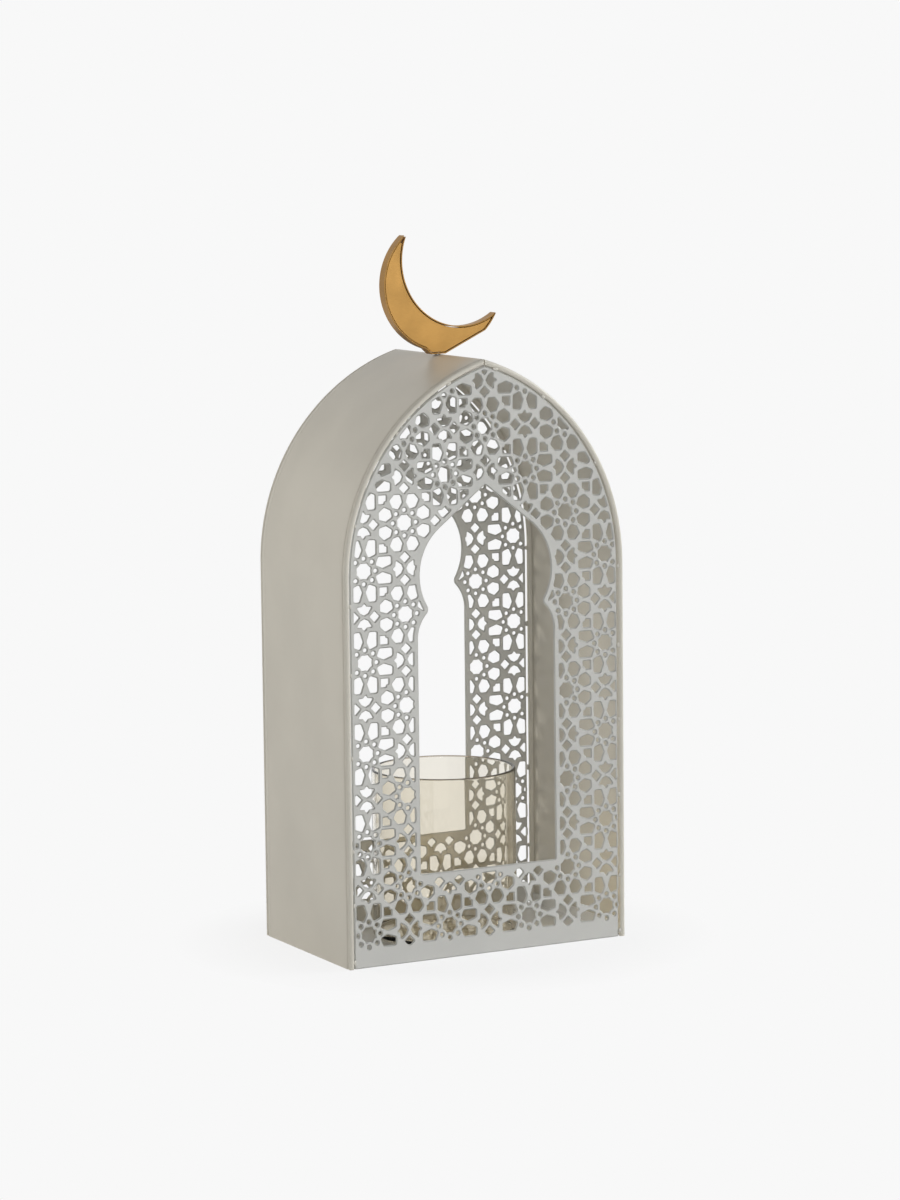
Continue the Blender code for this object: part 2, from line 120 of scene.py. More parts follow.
class OpeningSettings(bpy.types.PropertyGroup):
    """Sizes of the keyhole opening in both faces."""
    half_width: length("Half width", "Half the width of the straight part", 49.5)
    sill: length("Sill", "Height of the opening's lower edge", 56.8)
    lower_radius: length("Lower lobe radius", "Radius of the lobe below the nib", 22.8)
    lower_height: length("Lower lobe height", "Height of that lobe's centre", 208.8)
    upper_radius: length("Upper lobe radius", "Radius of the lobe above the nib", 38.2)
    upper_offset: length("Upper lobe offset", "How far its centre lies from the middle", 9.5)
    upper_height: length("Upper lobe height", "Height of that lobe's centre", 249.1)
    shoulder: turn("Shoulder", "Angle at which the upper lobe turns into the point", 52)
    nib_radius: length("Nib radius", "Radius of the rounded nib between the lobes", 4.5)
    border: length("Border", "Plain rim round the opening", 3.7)
    corner: length("Corner", "Radius of the corners at the sill", 1.0)
    lobe_steps: count("Lobe steps", "Straight steps on the lower lobe", 22)
    nib_steps: count("Nib steps", "Straight steps on the nib", 10)


class LatticeSettings(bpy.types.PropertyGroup):
    """Sizes of the pierced faces."""
    pitch: length("Pitch", "Distance from a star to the next of its kind", 58.35)
    first_row: length("First row", "Height of the lowest row of star centres", 21.5)
    face_gap: length("Face gap", "Gap between a face's edge and the bead", 0.6)
    bottom_band: length("Bottom band", "Plain band along the foot", 12.0)
    left_shift: length("Left shift", "How far a face's left edge was pushed out", 0.45)
    right_shift: length("Right shift", "How far its right edge was pulled in", 0.8)
    side_margin: length("Side margin", "Plain rim along the sides", 1.1)
    arch_margin: length("Arch margin", "Plain rim along the arch", 2.6)
    smallest: length("Smallest hole", "Cut-off holes narrower than this are left out", 1.7)
    petal_corner: length("Petal corner", "Radius of the corners of petals and round holes", 1.2)
    star_corner: length("Star corner", "Radius of the corners of stars, crowns and squares", 0.45)
    corner_points: count("Corner points", "Points that round each corner of a hole", 3)
    edge_round: length("Edge rounding", "Radius that the paint gives to every cut edge", 0.7)
    edge_steps: count("Edge steps", "Straight steps on that rounding", 2)


class WeldSettings(bpy.types.PropertyGroup):
    """Sizes of the small welds that hold the faces."""
    length: length("Length", "Length of a weld along the edge", 3.4)
    width: length("Width", "Width of a weld across the gap", 1.9)
    height: length("Height", "Height of a weld over the face", 0.7)
    seed: IntProperty(name="Seed", description="Start of the random sizes", default=4)


class CrescentSettings(bpy.types.PropertyGroup):
    """Sizes of the crescent."""
    sheet: length("Sheet", "Thickness of plates and bands", 0.8)
    inset: length("Inset", "How far the plates lie inside the bands' edges", 0.4)
    gap: length("Gap", "Seam between a plate and a band", 0.45)
    radius: length("Radius", "Radius of the outer circle", 43.1)
    shift: length("Shift", "How far the outer circle's centre lies from the middle", 2.3)
    hollow_radius: length("Hollow radius", "Radius of the circle that hollows the crescent", 43.2)
    hollow_shift: length("Hollow shift", "Distance of its centre from the outer centre", 20.9)
    hollow_angle: turn("Hollow angle", "Direction of that shift", 50.6)
    upper_cut: length("Upper horn cut", "Length taken off the upper tip", 2.9)
    side_cut: length("Side horn cut", "Length taken off the right tip", 0.9)
    foot_height: length("Foot height", "How far the flat foot lies below the outer circle", 1.5)
    foot_left: length("Foot left", "Left end of the flat foot", 7.1)
    foot_right: length("Foot right", "Right end of the flat foot", 3.1)
    foot_left_angle: turn("Foot left angle", "Where the outer circle ends left of the foot", 252)
    foot_right_angle: turn("Foot right angle", "Where it starts again on the right", 315)
    foot_corner: share("Foot corner", "Sideways part of the inset at the foot's corners", 0.3)
    edge_round: length("Edge rounding", "Radius of the edges of plates and bands", 0.14)
    steps: count("Steps", "Straight steps on each arc", 120)


class CupSettings(bpy.types.PropertyGroup):
    """Sizes of the glass cup."""
    wall: length("Wall", "Thickness of the wall", 2.5)
    floor: length("Floor", "Thickness of the floor", 4.0)
    foot_round: length("Foot rounding", "Radius at the foot", 2.0)
    lip: length("Lip", "Radius of the polished lip", 1.1)
    sides: count("Sides", "Straight steps round the cup", 144)
    steps: count("Steps", "Straight steps on each rounding", 5)


class FixingSettings(bpy.types.PropertyGroup):
    """Sizes of the bolt, nut and saddle under the ridge."""
    shank: length("Shank", "Radius of the bolt's shank", 1.25)
    head_height: length("Head height", "Height of the bolt's head", 2.0)
    thread_pitch: length("Thread pitch", "Rise of the thread in one turn", 0.5)
    thread_depth: length("Thread depth", "Depth of the thread", 0.28)
    sides: count("Sides", "Straight steps round the bolt", 36)
    edge_round: length("Edge rounding", "Radius of the saddle's and the nut's edges", 0.25)
    tray_round: length("Tray rounding", "Radius of the tray's edges", 0.3)


class FinishSettings(bpy.types.PropertyGroup):
    """Colours of the finishes."""
    # The strip's paint is the faces' paint made warmer and a little lighter: painted warm light
    # from the left on the sides.
    shell_paint: colour("Shell paint", "Colour of the painted strip", (0.635, 0.605, 0.53))
    face_paint: colour("Face paint", "Colour of the painted faces", (0.575, 0.57, 0.54))
    # The tray's paint is the same paint made lighter: painted light on the lantern's dim floor.
    tray_paint: colour("Tray paint", "Colour of the painted tray", (0.74, 0.735, 0.71))
    plate_brass: colour("Plate brass", "Colour of the crescent's plates", (0.485, 0.278, 0.086))
    # The bands' brass is the plates' brass made darker: painted shade on the crescent's edges.
    band_brass: colour("Band brass", "Colour of the crescent's bands", (0.36, 0.2, 0.06))
    glass: colour("Glass", "Tint of the cup", (0.90, 0.868, 0.792))
    zinc: colour("Zinc", "Colour of the bolt and nut", (0.6, 0.6, 0.58))
    saddle: colour("Saddle", "Colour of the saddle block", (0.35, 0.35, 0.34))
    background: share("Background", "Brightness of floor and background to the eye", 0.939)
    shadow: share("Shadow", "How much of the floor's own light and shade shows", 0.12)


class StageSettings(bpy.types.PropertyGroup):
    """Camera and lights."""
    camera_place: FloatVectorProperty(name="Camera place", description="Place of the camera",
                                      default=(-1.2054, -2.2889, 0.5600), size=3,
                                      subtype='TRANSLATION', unit='LENGTH')
    camera_tilt: turn("Camera tilt", "How far the camera looks down", 7.405)
    camera_turn: turn("Camera turn", "Direction it looks in, from +Y to the left", -27.897)
    camera_roll: turn("Camera roll", "Roll about its own axis", -0.641)
    lens: FloatProperty(name="Lens", description="Focal length in millimetres", default=119.5)
    low_light: share("Low light", "Strength of the even light near the horizon", 0.26)
    top_light: share("Top light", "Strength of that light straight above", 0.02)
    key_power: power("Key light", "Power of the light on the upper right", 50.0)
    front_power: power("Front light", "Power of the light in front", 27.0)
    back_power: power("Back light", "Power of the light behind on the left", 29.0)
    low_colour: colour("Low colour", "Colour of the even light near the horizon", (1.0, 1.0, 1.0))
    top_colour: colour("Top colour", "Colour of that light straight above", (1.0, 1.0, 1.0))
    key_colour: colour("Key colour", "Colour of the light on the upper right", (0.95, 0.98, 1.0))
    front_colour: colour("Front colour", "Colour of the light in front", (1.0, 1.0, 1.0))
    back_colour: colour("Back colour", "Colour of the light behind", (1.0, 0.97, 0.92))


class LanternSettings(bpy.types.PropertyGroup):
    """All settings of the lantern."""
    shell: PointerProperty(type=ShellSettings)
    opening: PointerProperty(type=OpeningSettings)
    lattice: PointerProperty(type=LatticeSettings)
    weld: PointerProperty(type=WeldSettings)
    crescent: PointerProperty(type=CrescentSettings)
    cup: PointerProperty(type=CupSettings)
    fixing: PointerProperty(type=FixingSettings)
    finish: PointerProperty(type=FinishSettings)
    stage: PointerProperty(type=StageSettings)


# Outlines, drawn flat with X to the right and Y up. They are stood up at the end.

def arc(centre, radius, start, end, steps):
    """Points on a circle, from one angle to another."""
    angles = [start + (end - start) * step / steps for step in range(steps + 1)]
    return [(centre[0] + radius * math.cos(a), centre[1] + radius * math.sin(a)) for a in angles]


def mirrored(right_half):
    """A closed outline from its right half, whose ends meet its mirror image."""
    return right_half + [(-x, y) for x, y in reversed(right_half) if abs(x) > TINY]


def rounded(outline, radius, steps):
    """The closed outline with each sharp corner turned into an arc."""
    points = [Vector(point) for point in outline]
    result = []
    for index, point in enumerate(points):
        before = point - points[index - 1]
        after = points[(index + 1) % len(points)] - point
        bend = before.angle_signed(after, 0.0)
        if abs(bend) < SHARP_CORNER:
            result.append(tuple(point))
            continue
        reach = min(radius * math.tan(abs(bend) / 2), before.length * LONGEST_REACH,
                    after.length * LONGEST_REACH)
        side = 1.0 if bend < 0 else -1.0
        inward = Vector((-before.y, before.x)).normalized() * side
        own_radius = reach / math.tan(abs(bend) / 2)
        start = point - before.normalized() * reach
        centre = start + inward * own_radius
        arm = start - centre
        for step in range(steps + 1):
            result.append(tuple(centre + Matrix.Rotation(-bend * step / steps, 2) @ arm))
    return result


def subdivided(points, longest, closed=False):
    """The same line with more points on its long straight runs."""
    result = []
    following = points[1:] + points[:1] if closed else points[1:]
    for (x, y), (next_x, next_y) in zip(points, following):
        pieces = max(1, math.ceil(math.hypot(next_x - x, next_y - y) / longest))
        for piece in range(pieces):
            part = piece / pieces
            result.append((x + (next_x - x) * part, y + (next_y - y) * part))
    return result if closed else result + [points[-1]]


class Body:
    """The lantern's main sizes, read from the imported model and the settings."""

    def __init__(self, settings):
        low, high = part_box("shell_strip")
        self.half_width = (high.x - low.x) / 2
        self.half_depth = (high.y - low.y) / 2
        self.ridge = high.z
        self.side_height = settings.shell.side_height
        rise = self.ridge - self.side_height
        self.offset = (rise ** 2 - self.half_width ** 2) / (2 * self.half_width)
        self.radius = self.half_width + self.offset
        self.face_inset = settings.shell.bead + settings.lattice.face_gap

    def arch_top(self, inset):
        """Height of the arch's point on the line set in by inset."""
        return self.side_height + math.sqrt((self.radius - inset) ** 2 - self.offset ** 2)

    def arch_side(self, inset, steps):
        """Right half of the arch's line, from the springing to the point."""
        radius = self.radius - inset
        sweep = math.acos(self.offset / radius)
        line = arc((-self.offset, self.side_height), radius, 0.0, sweep, steps)
        return line[:-1] + [(0.0, self.arch_top(inset))]

    def edge_point(self, distance, inset):
        """Point and direction on the right side's line, by its distance from the ground."""
        if distance <= self.side_height:
            return self.half_width - inset, distance, math.pi / 2
        angle = (distance - self.side_height) / (self.radius - self.face_inset)
        radius = self.radius - inset
        x = radius * math.cos(angle) - self.offset
        return x, self.side_height + radius * math.sin(angle), math.pi / 2 + angle


def keyhole(opening, offset):
    """Outline of the opening, set outwards by offset, anticlockwise, with rounded nibs."""
    low = Vector((opening.half_width - opening.lower_radius, opening.lower_height))
    high = Vector((opening.upper_offset, opening.upper_height))
    low_radius = opening.lower_radius + offset
    high_radius = opening.upper_radius + offset
    rounding = opening.nib_radius - offset
    to_low = low_radius + rounding
    to_high = high_radius + rounding
    between = high - low
    along = (between.length ** 2 + to_low ** 2 - to_high ** 2) / (2 * between.length)
    across = math.sqrt(to_low ** 2 - along ** 2)
    direction = between.normalized()
    nib = low + direction * along + Vector((direction.y, -direction.x)) * across
    low_end = math.atan2(*(nib - low).yx)
    high_start = math.atan2(*(nib - high).yx)
    shoulder = high.x + high_radius * math.cos(opening.shoulder)
    shoulder_height = high.y + high_radius * math.sin(opening.shoulder)
    right = [(opening.half_width + offset, opening.sill - offset)]
    right += arc(low, low_radius, 0.0, low_end, opening.lobe_steps)
    right += arc(nib, rounding, low_end + math.pi, high_start + math.pi, opening.nib_steps)[1:-1]
    right += arc(high, high_radius, high_start, opening.shoulder, 2 * opening.lobe_steps)
    right += [(0.0, shoulder_height + shoulder / math.tan(opening.shoulder))]
    return mirrored(right)


# Meshes and objects.

def link(obj):
    """Put an object in the scene."""
    bpy.context.scene.collection.objects.link(obj)
    return obj


def drawn_curve(name, outlines, closed=True):
    """A guide made of flat outlines."""
    curve = bpy.data.curves.new(name, 'CURVE')
    curve.dimensions = '3D'
    for outline in outlines:
        spline = curve.splines.new('POLY')
        spline.points.add(len(outline) - 1)
        for point, (x, y) in zip(spline.points, outline):
            point.co = (x, y, 0.0, 1.0)
        spline.use_cyclic_u = closed
    return link(bpy.data.objects.new(name, curve))


def drawn_mesh(name, fill):
    """A guide or a piece whose mesh is made by fill."""
    mesh = bpy.data.meshes.new(name)
    grid = bmesh.new()
    fill(grid)
    grid.to_mesh(mesh)
    grid.free()
    return link(bpy.data.objects.new(name, mesh))


def add_prism(grid, outline, bottom, top):
    """A closed prism on an anticlockwise outline, between two heights."""
    low = [grid.verts.new((x, y, bottom)) for x, y in outline]
    high = [grid.verts.new((x, y, top)) for x, y in outline]
    grid.faces.new(low[::-1])
    grid.faces.new(high)
    for corner in range(len(low)):
        before = corner - 1
        grid.faces.new((low[before], low[corner], high[corner], high[before]))


def turned(name, profile, sides, twist=None):
    """A solid turned about the Z axis from a profile that starts and ends on the axis."""
    def fill(grid):
        rings = []
        for radius, height in profile:
            if radius < TINY:
                rings.append([grid.verts.new((0.0, 0.0, height))])
                continue
            ring = []
            for side in range(sides):
                angle = 2 * math.pi * side / sides
                own = twist(radius, height, angle) if twist else radius
                ring.append(grid.verts.new((own * math.cos(angle), own * math.sin(angle), height)))
            rings.append(ring)
        for ring, following in zip(rings, rings[1:]):
            for side in range(sides):
                after = (side + 1) % sides
                corners = [ring[side % len(ring)], ring[after % len(ring)],
                           following[after % len(following)], following[side % len(following)]]
                grid.faces.new(list(dict.fromkeys(corners)))
    return drawn_mesh(name, fill)


def evaluated_mesh(obj):
    """The object's mesh with its modifiers applied."""
    graph = bpy.context.evaluated_depsgraph_get()
    return bpy.data.meshes.new_from_object(obj.evaluated_get(graph))


def bevelled(obj, width):
    """Round the object's sharp edges for good."""
    bevel = obj.modifiers.new("Edge rounding", 'BEVEL')
    bevel.width = width
    bevel.segments = BEVEL_STEPS
    bevel.limit_method = 'ANGLE'
    bevel.angle_limit = SHARP_EDGE
    bevel.loop_slide = False
    mesh = evaluated_mesh(obj)
    obj.modifiers.remove(bevel)
    obj.data = mesh
    return smooth(obj)


def smooth(obj):
    """Shade round surfaces smooth, keep the sharp edges and let large flat faces stay flat."""
    obj.data.shade_smooth()
    obj.data.set_sharp_from_angle(angle=CREASE)
    weighted = obj.modifiers.new("Flat faces", 'WEIGHTED_NORMAL')
    weighted.keep_sharp = True
    mesh = evaluated_mesh(obj)
    obj.modifiers.remove(weighted)
    obj.data = mesh
    return obj


def dressed_copy(node, name, width):
    """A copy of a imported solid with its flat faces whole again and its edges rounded."""
    def fill(grid):
        grid.from_mesh(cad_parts[node].data)
        bmesh.ops.remove_doubles(grid, verts=grid.verts, dist=SAME_PLACE)
        bmesh.ops.dissolve_limit(grid, angle_limit=math.radians(1), verts=grid.verts,
                                 edges=grid.edges)
    return bevelled(drawn_mesh(name, fill), width)


def finish_piece(obj, body, nodes, material=None):
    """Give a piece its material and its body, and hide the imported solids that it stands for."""
    if material:
        obj.data.materials.clear()
        obj.data.materials.append(material)
    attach(obj, body)
    if nodes:
        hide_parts(*nodes)


def remove(*objects):
    """Take guides out of the scene."""
    for obj in objects:
        bpy.data.objects.remove(obj)


# Nodes.

class Nodes:
    """A node tree that nodes are added to."""

    def __init__(self, tree):
        self.tree = tree

    def add(self, kind, inputs=None, **settings):
        """A node with its settings and its inputs, which are values or other nodes' outputs."""
        node = self.tree.nodes.new(kind)
        for name, value in settings.items():
            setattr(node, name, value)
        for key, value in (inputs or {}).items():
            for part in value if isinstance(value, list) else [value]:
                if isinstance(part, bpy.types.NodeSocket):
                    self.tree.links.new(part, node.inputs[key])
                else:
                    node.inputs[key].default_value = part
        return node.outputs

    def math(self, operation, *values):
        """A number worked out from others."""
        return self.add('ShaderNodeMath', dict(enumerate(values)), operation=operation)[0]

    def colours_mixed(self, factor, first, second):
        """A colour that runs from first to second. A mix has its colours at sockets 6 and 7."""
        return self.add('ShaderNodeMix', {0: factor, 6: first, 7: second}, data_type='RGBA')[2]


class Tree(Nodes):
    """A Geometry Nodes tree with named inputs, and the pieces that it makes."""

    def __init__(self, name):
        super().__init__(bpy.data.node_groups.new(name, 'GeometryNodeTree'))
        self.tree.is_modifier = True
        self.group_input = self.tree.nodes.new('NodeGroupInput')
        self.identifiers = {}

    def input(self, name, kind):
        """A named input of the tree."""
        socket = self.tree.interface.new_socket(name=name, in_out='INPUT', socket_type=kind)
        self.identifiers[name] = socket.identifier
        return self.group_input.outputs[name]

    def scaled(self, vector, factor):
        """A vector made longer or shorter."""
        return self.add('ShaderNodeVectorMath', {"Vector": vector, "Scale": factor},
                        operation='SCALE')[0]

    def along(self, y=0.0, z=0.0):
        """A vector along Y, Z or both."""
        return self.add('ShaderNodeCombineXYZ', {"Y": y, "Z": z})[0]

    def moved(self, geometry, translation, rotation=(0.0, 0.0, 0.0)):
        """Geometry turned and moved."""
        return self.add('GeometryNodeTransform', {
            "Geometry": geometry, "Translation": translation, "Rotation": rotation})[0]

    def joined(self, *parts):
        """Several geometries as one."""
        return self.add('GeometryNodeJoinGeometry', {"Geometry": list(parts)})[0]

    def merged(self, geometry):
        """Geometry with the points in the same place joined."""
        return self.add('GeometryNodeMergeByDistance', {"Geometry": geometry,
                                                        "Distance": SAME_PLACE})[0]

    def object(self, socket):
        """The geometry of the object at an input."""
        return self.add('GeometryNodeObjectInfo', {"Object": socket})["Geometry"]

    def stood_up(self, geometry, depth=0.0):
        """What was drawn flat, turned so that its Y points up, at a place along Y."""
        return self.moved(geometry, self.along(y=depth), (math.pi / 2, 0.0, 0.0))

    def finish(self, geometry, material):
        """End the tree with real geometry in the given material."""
        real = self.add('GeometryNodeRealizeInstances', {"Geometry": geometry})[0]
        painted = self.add('GeometryNodeSetMaterial', {"Geometry": real, "Material": material})[0]
        self.tree.interface.new_socket(name="Geometry", in_out='OUTPUT',
                                       socket_type='NodeSocketGeometry')
        output = self.tree.nodes.new('NodeGroupOutput')
        self.tree.links.new(painted, output.inputs[0])
        return self

    def make(self, name, values):
        """A plain mesh object made by the tree with these inputs."""
        obj = link(bpy.data.objects.new(name, bpy.data.meshes.new(name)))
        modifier = obj.modifiers.new(self.tree.name, 'NODES')
        modifier.node_group = self.tree
        for input_name, value in values.items():
            modifier[self.identifiers[input_name]] = value
        mesh = evaluated_mesh(obj)
        obj.modifiers.clear()
        obj.data = mesh
        mesh.name = name
        if not mesh.polygons:
            raise RuntimeError(f"{name} came out empty")
        return obj


def closed_prism(tree, faces, height):
    """Nodes that turn flat faces into closed prisms, half above and half below."""
    top = tree.add('GeometryNodeExtrudeMesh', {"Mesh": faces, "Offset Scale": height,
                                               "Individual": False})["Mesh"]
    bottom = tree.add('GeometryNodeFlipFaces', {"Mesh": faces})[0]
    prism = tree.merged(tree.joined(top, bottom))
    return tree.moved(prism, tree.along(z=-height / 2))


def rim_edges(tree):
    """Nodes that pick the edges with one face, which have fewer than two neighbours."""
    neighbours = tree.add('GeometryNodeInputMeshEdgeNeighbors')[0]
    return tree.math('LESS_THAN', neighbours, 1.5)


def turned_to_metal(tree, curve):
    """Nodes that make every closed line run anticlockwise, so that its right side is outside."""
    position = tree.add('GeometryNodeInputPosition')[0]
    index = tree.add('GeometryNodeInputIndex')[0]
    after = tree.add('GeometryNodeOffsetPointInCurve', {"Point Index": index, "Offset": 1})[1]
    next_position = tree.add('GeometryNodeFieldAtIndex', {"Index": after, "Value": position},
                             data_type='FLOAT_VECTOR', domain='POINT')[0]
    cross = tree.add('ShaderNodeVectorMath', {0: position, 1: next_position},
                     operation='CROSS_PRODUCT')[0]
    height = tree.add('ShaderNodeSeparateXYZ', {"Vector": cross})["Z"]
    line = tree.add('GeometryNodeCurveOfPoint', {"Point Index": index})["Curve Index"]
    area = tree.add('GeometryNodeAccumulateField', {"Value": height, "Group ID": line},
                    data_type='FLOAT', domain='POINT')["Total"]
    clockwise = tree.math('LESS_THAN', area, 0.0)
    return tree.add('GeometryNodeReverseCurve', {"Curve": curve, "Selection": clockwise})[0]


def without_slivers(tree, faces, smallest):
    """Nodes that drop the islands of faces that are too narrow, by their area and their edge."""
    island = tree.add('GeometryNodeInputMeshIsland')["Island Index"]
    face_area = tree.add('GeometryNodeInputMeshFaceArea')[0]
    area = tree.add('GeometryNodeAccumulateField', {"Value": face_area, "Group ID": island},
                    data_type='FLOAT', domain='FACE')["Total"]
    ends = tree.add('GeometryNodeInputMeshEdgeVertices')
    edge_length = tree.add('ShaderNodeVectorMath', {0: ends["Position 1"], 1: ends["Position 2"]},
                           operation='DISTANCE')["Value"]
    rim_length = tree.math('MULTIPLY', edge_length, rim_edges(tree))
    rim = tree.add('GeometryNodeAccumulateField', {"Value": rim_length, "Group ID": island},
                   data_type='FLOAT', domain='EDGE')["Total"]
    width = tree.math('DIVIDE', tree.math('MULTIPLY', area, 4.0), rim)  # exact for a square
    narrow = tree.math('LESS_THAN', width, smallest)
    return tree.add('GeometryNodeSeparateGeometry', {"Geometry": faces, "Selection": narrow},
                    domain='FACE')["Inverted"]


def lattice_tree(cutter_height):
    """Tree of a pierced face: holes repeated on a grid, clipped, rounded and cut from a sheet."""
    tree = Tree("Pierced face")
    cell = tree.object(tree.input("Cell", 'NodeSocketObject'))
    field = tree.object(tree.input("Field", 'NodeSocketObject'))
    outline = tree.object(tree.input("Outline", 'NodeSocketObject'))
    edge = tree.object(tree.input("Edge", 'NodeSocketObject'))
    pitch = tree.input("Pitch", 'NodeSocketFloat')
    columns = tree.input("Columns", 'NodeSocketInt')
    rows = tree.input("Rows", 'NodeSocketInt')
    first_row = tree.input("First row", 'NodeSocketFloat')
    smallest = tree.input("Smallest hole", 'NodeSocketFloat')
    corner_points = tree.input("Corner points", 'NodeSocketInt')
    edge_round = tree.input("Edge rounding", 'NodeSocketFloat')
    sheet = tree.input("Sheet", 'NodeSocketFloat')
    depth = tree.input("Depth", 'NodeSocketFloat')
    paint = tree.input("Paint", 'NodeSocketMaterial')

    width = tree.math('MULTIPLY', pitch, tree.math('SUBTRACT', columns, 1.0))
    rise = tree.math('MULTIPLY', pitch, tree.math('SUBTRACT', rows, 1.0))
    points = tree.add('GeometryNodeMeshGrid', {"Size X": width, "Size Y": rise,
                                               "Vertices X": columns, "Vertices Y": rows})[0]
    middle = tree.math('SUBTRACT', tree.math('MULTIPLY', rise, 0.5), pitch)
    points = tree.moved(points, tree.along(y=tree.math('ADD', first_row, middle)))
    cells = tree.add('GeometryNodeInstanceOnPoints', {"Points": points, "Instance": cell})[0]
    holes = tree.add('GeometryNodeRealizeInstances', {"Geometry": cells})[0]
    hole_prisms = closed_prism(tree, holes, cutter_height)
    field_faces = tree.add('GeometryNodeFillCurve', {"Curve": field})[0]
    field_prism = closed_prism(tree, field_faces, 3 * cutter_height)
    clipped = tree.add('GeometryNodeMeshBoolean', {"Mesh 2": [hole_prisms, field_prism]},
                       operation='INTERSECT', solver='EXACT')["Mesh"]
    normal = tree.add('GeometryNodeInputNormal')[0]
    facing = tree.add('ShaderNodeSeparateXYZ', {"Vector": normal})["Z"]
    upper = tree.math('GREATER_THAN', facing, 0.5)
    caps = tree.add('GeometryNodeSeparateGeometry', {"Geometry": clipped, "Selection": upper},
                    domain='FACE')["Selection"]
    caps = tree.moved(caps, tree.along(z=-cutter_height / 2))
    caps = without_slivers(tree, caps, smallest)
    lines = tree.add('GeometryNodeMeshToCurve', {"Mesh": caps, "Selection": rim_edges(tree)})[0]
    lines = turned_to_metal(tree, lines)
    corner = tree.add('GeometryNodeInputNamedAttribute', {"Name": "corner"}, data_type='FLOAT')[0]
    lines = tree.add('GeometryNodeFilletCurve', {"Curve": lines, "Count": corner_points,
                                                 "Radius": corner, "Limit Radius": True},
                     mode='POLY')[0]
    lines = tree.joined(lines, outline)
    lines = tree.add('GeometryNodeSetCurveNormal', {"Curve": lines}, mode='Z_UP')[0]
    walls = tree.add('GeometryNodeCurveToMesh', {"Curve": lines, "Profile Curve": edge})[0]
    set_in = tree.scaled(tree.add('GeometryNodeInputNormal')[0], edge_round)
    rims = tree.add('GeometryNodeSetPosition', {"Geometry": lines, "Offset": set_in})[0]
    flat = tree.add('GeometryNodeFillCurve', {"Curve": rims})[0]
    front = tree.moved(flat, tree.along(z=tree.math('MULTIPLY', sheet, 0.5)))
    back = tree.moved(flat, tree.along(z=tree.math('MULTIPLY', sheet, -0.5)))
    back = tree.add('GeometryNodeFlipFaces', {"Mesh": back})[0]
    flats = tree.add('GeometryNodeSetShadeSmooth', {"Geometry": tree.joined(front, back),
                                                    "Shade Smooth": False})[0]
    walls = tree.add('GeometryNodeSetShadeSmooth', {"Geometry": walls, "Shade Smooth": True})[0]
    plate = tree.merged(tree.joined(flats, walls))
    return tree.finish(tree.stood_up(plate, depth), paint)


def strip_tree():
    """Tree of a formed strip: a section led along a path, with faint waves, and holes cut out."""
    tree = Tree("Formed strip")
    path = tree.object(tree.input("Path", 'NodeSocketObject'))
    section = tree.object(tree.input("Section", 'NodeSocketObject'))
    cutters = tree.object(tree.input("Cutters", 'NodeSocketObject'))
    waviness = tree.input("Waviness", 'NodeSocketFloat')
    waves_per_metre = tree.input("Waves per metre", 'NodeSocketFloat')
    plain_half = tree.input("Plain half width", 'NodeSocketFloat')
    material = tree.input("Material", 'NodeSocketMaterial')

    path = tree.add('GeometryNodeSetCurveNormal', {"Curve": path}, mode='Z_UP')[0]
    normal = tree.add('GeometryNodeInputNormal')[0]
    kept = tree.add('GeometryNodeStoreNamedAttribute',
                    {"Geometry": path, "Name": "inwards", "Value": normal},
                    data_type='FLOAT_VECTOR', domain='POINT')[0]
    strip = tree.add('GeometryNodeCurveToMesh', {"Curve": kept, "Profile Curve": section,
                                                 "Fill Caps": True})[0]
    position = tree.add('GeometryNodeInputPosition')[0]
    noise = tree.add('ShaderNodeTexNoise', {"Vector": position, "Scale": waves_per_metre,
                                            "Detail": 1.0})["Fac"]
    across = tree.add('ShaderNodeSeparateXYZ', {"Vector": position})["Z"]
    from_edge = tree.math('SUBTRACT', 1.0, tree.math('DIVIDE', tree.math('ABSOLUTE', across),
                                                     plain_half))
    # The waves fade over the outer quarter of the plain width, so that hem and bead stay true.
    calm = tree.add('ShaderNodeClamp', {"Value": tree.math('MULTIPLY', from_edge, 4.0)})[0]
    swing = tree.math('MULTIPLY', tree.math('SUBTRACT', noise, 0.5), waviness)
    inwards = tree.add('GeometryNodeInputNamedAttribute', {"Name": "inwards"},
                       data_type='FLOAT_VECTOR')["Attribute"]
    offset = tree.scaled(inwards, tree.math('MULTIPLY', swing, calm))
    strip = tree.add('GeometryNodeSetPosition', {"Geometry": strip, "Offset": offset})[0]
    strip = tree.stood_up(strip)
    cut = tree.add('GeometryNodeMeshBoolean', {"Mesh 1": strip, "Mesh 2": [cutters]},
                   operation='DIFFERENCE', solver='EXACT')["Mesh"]
    return tree.finish(cut, material)


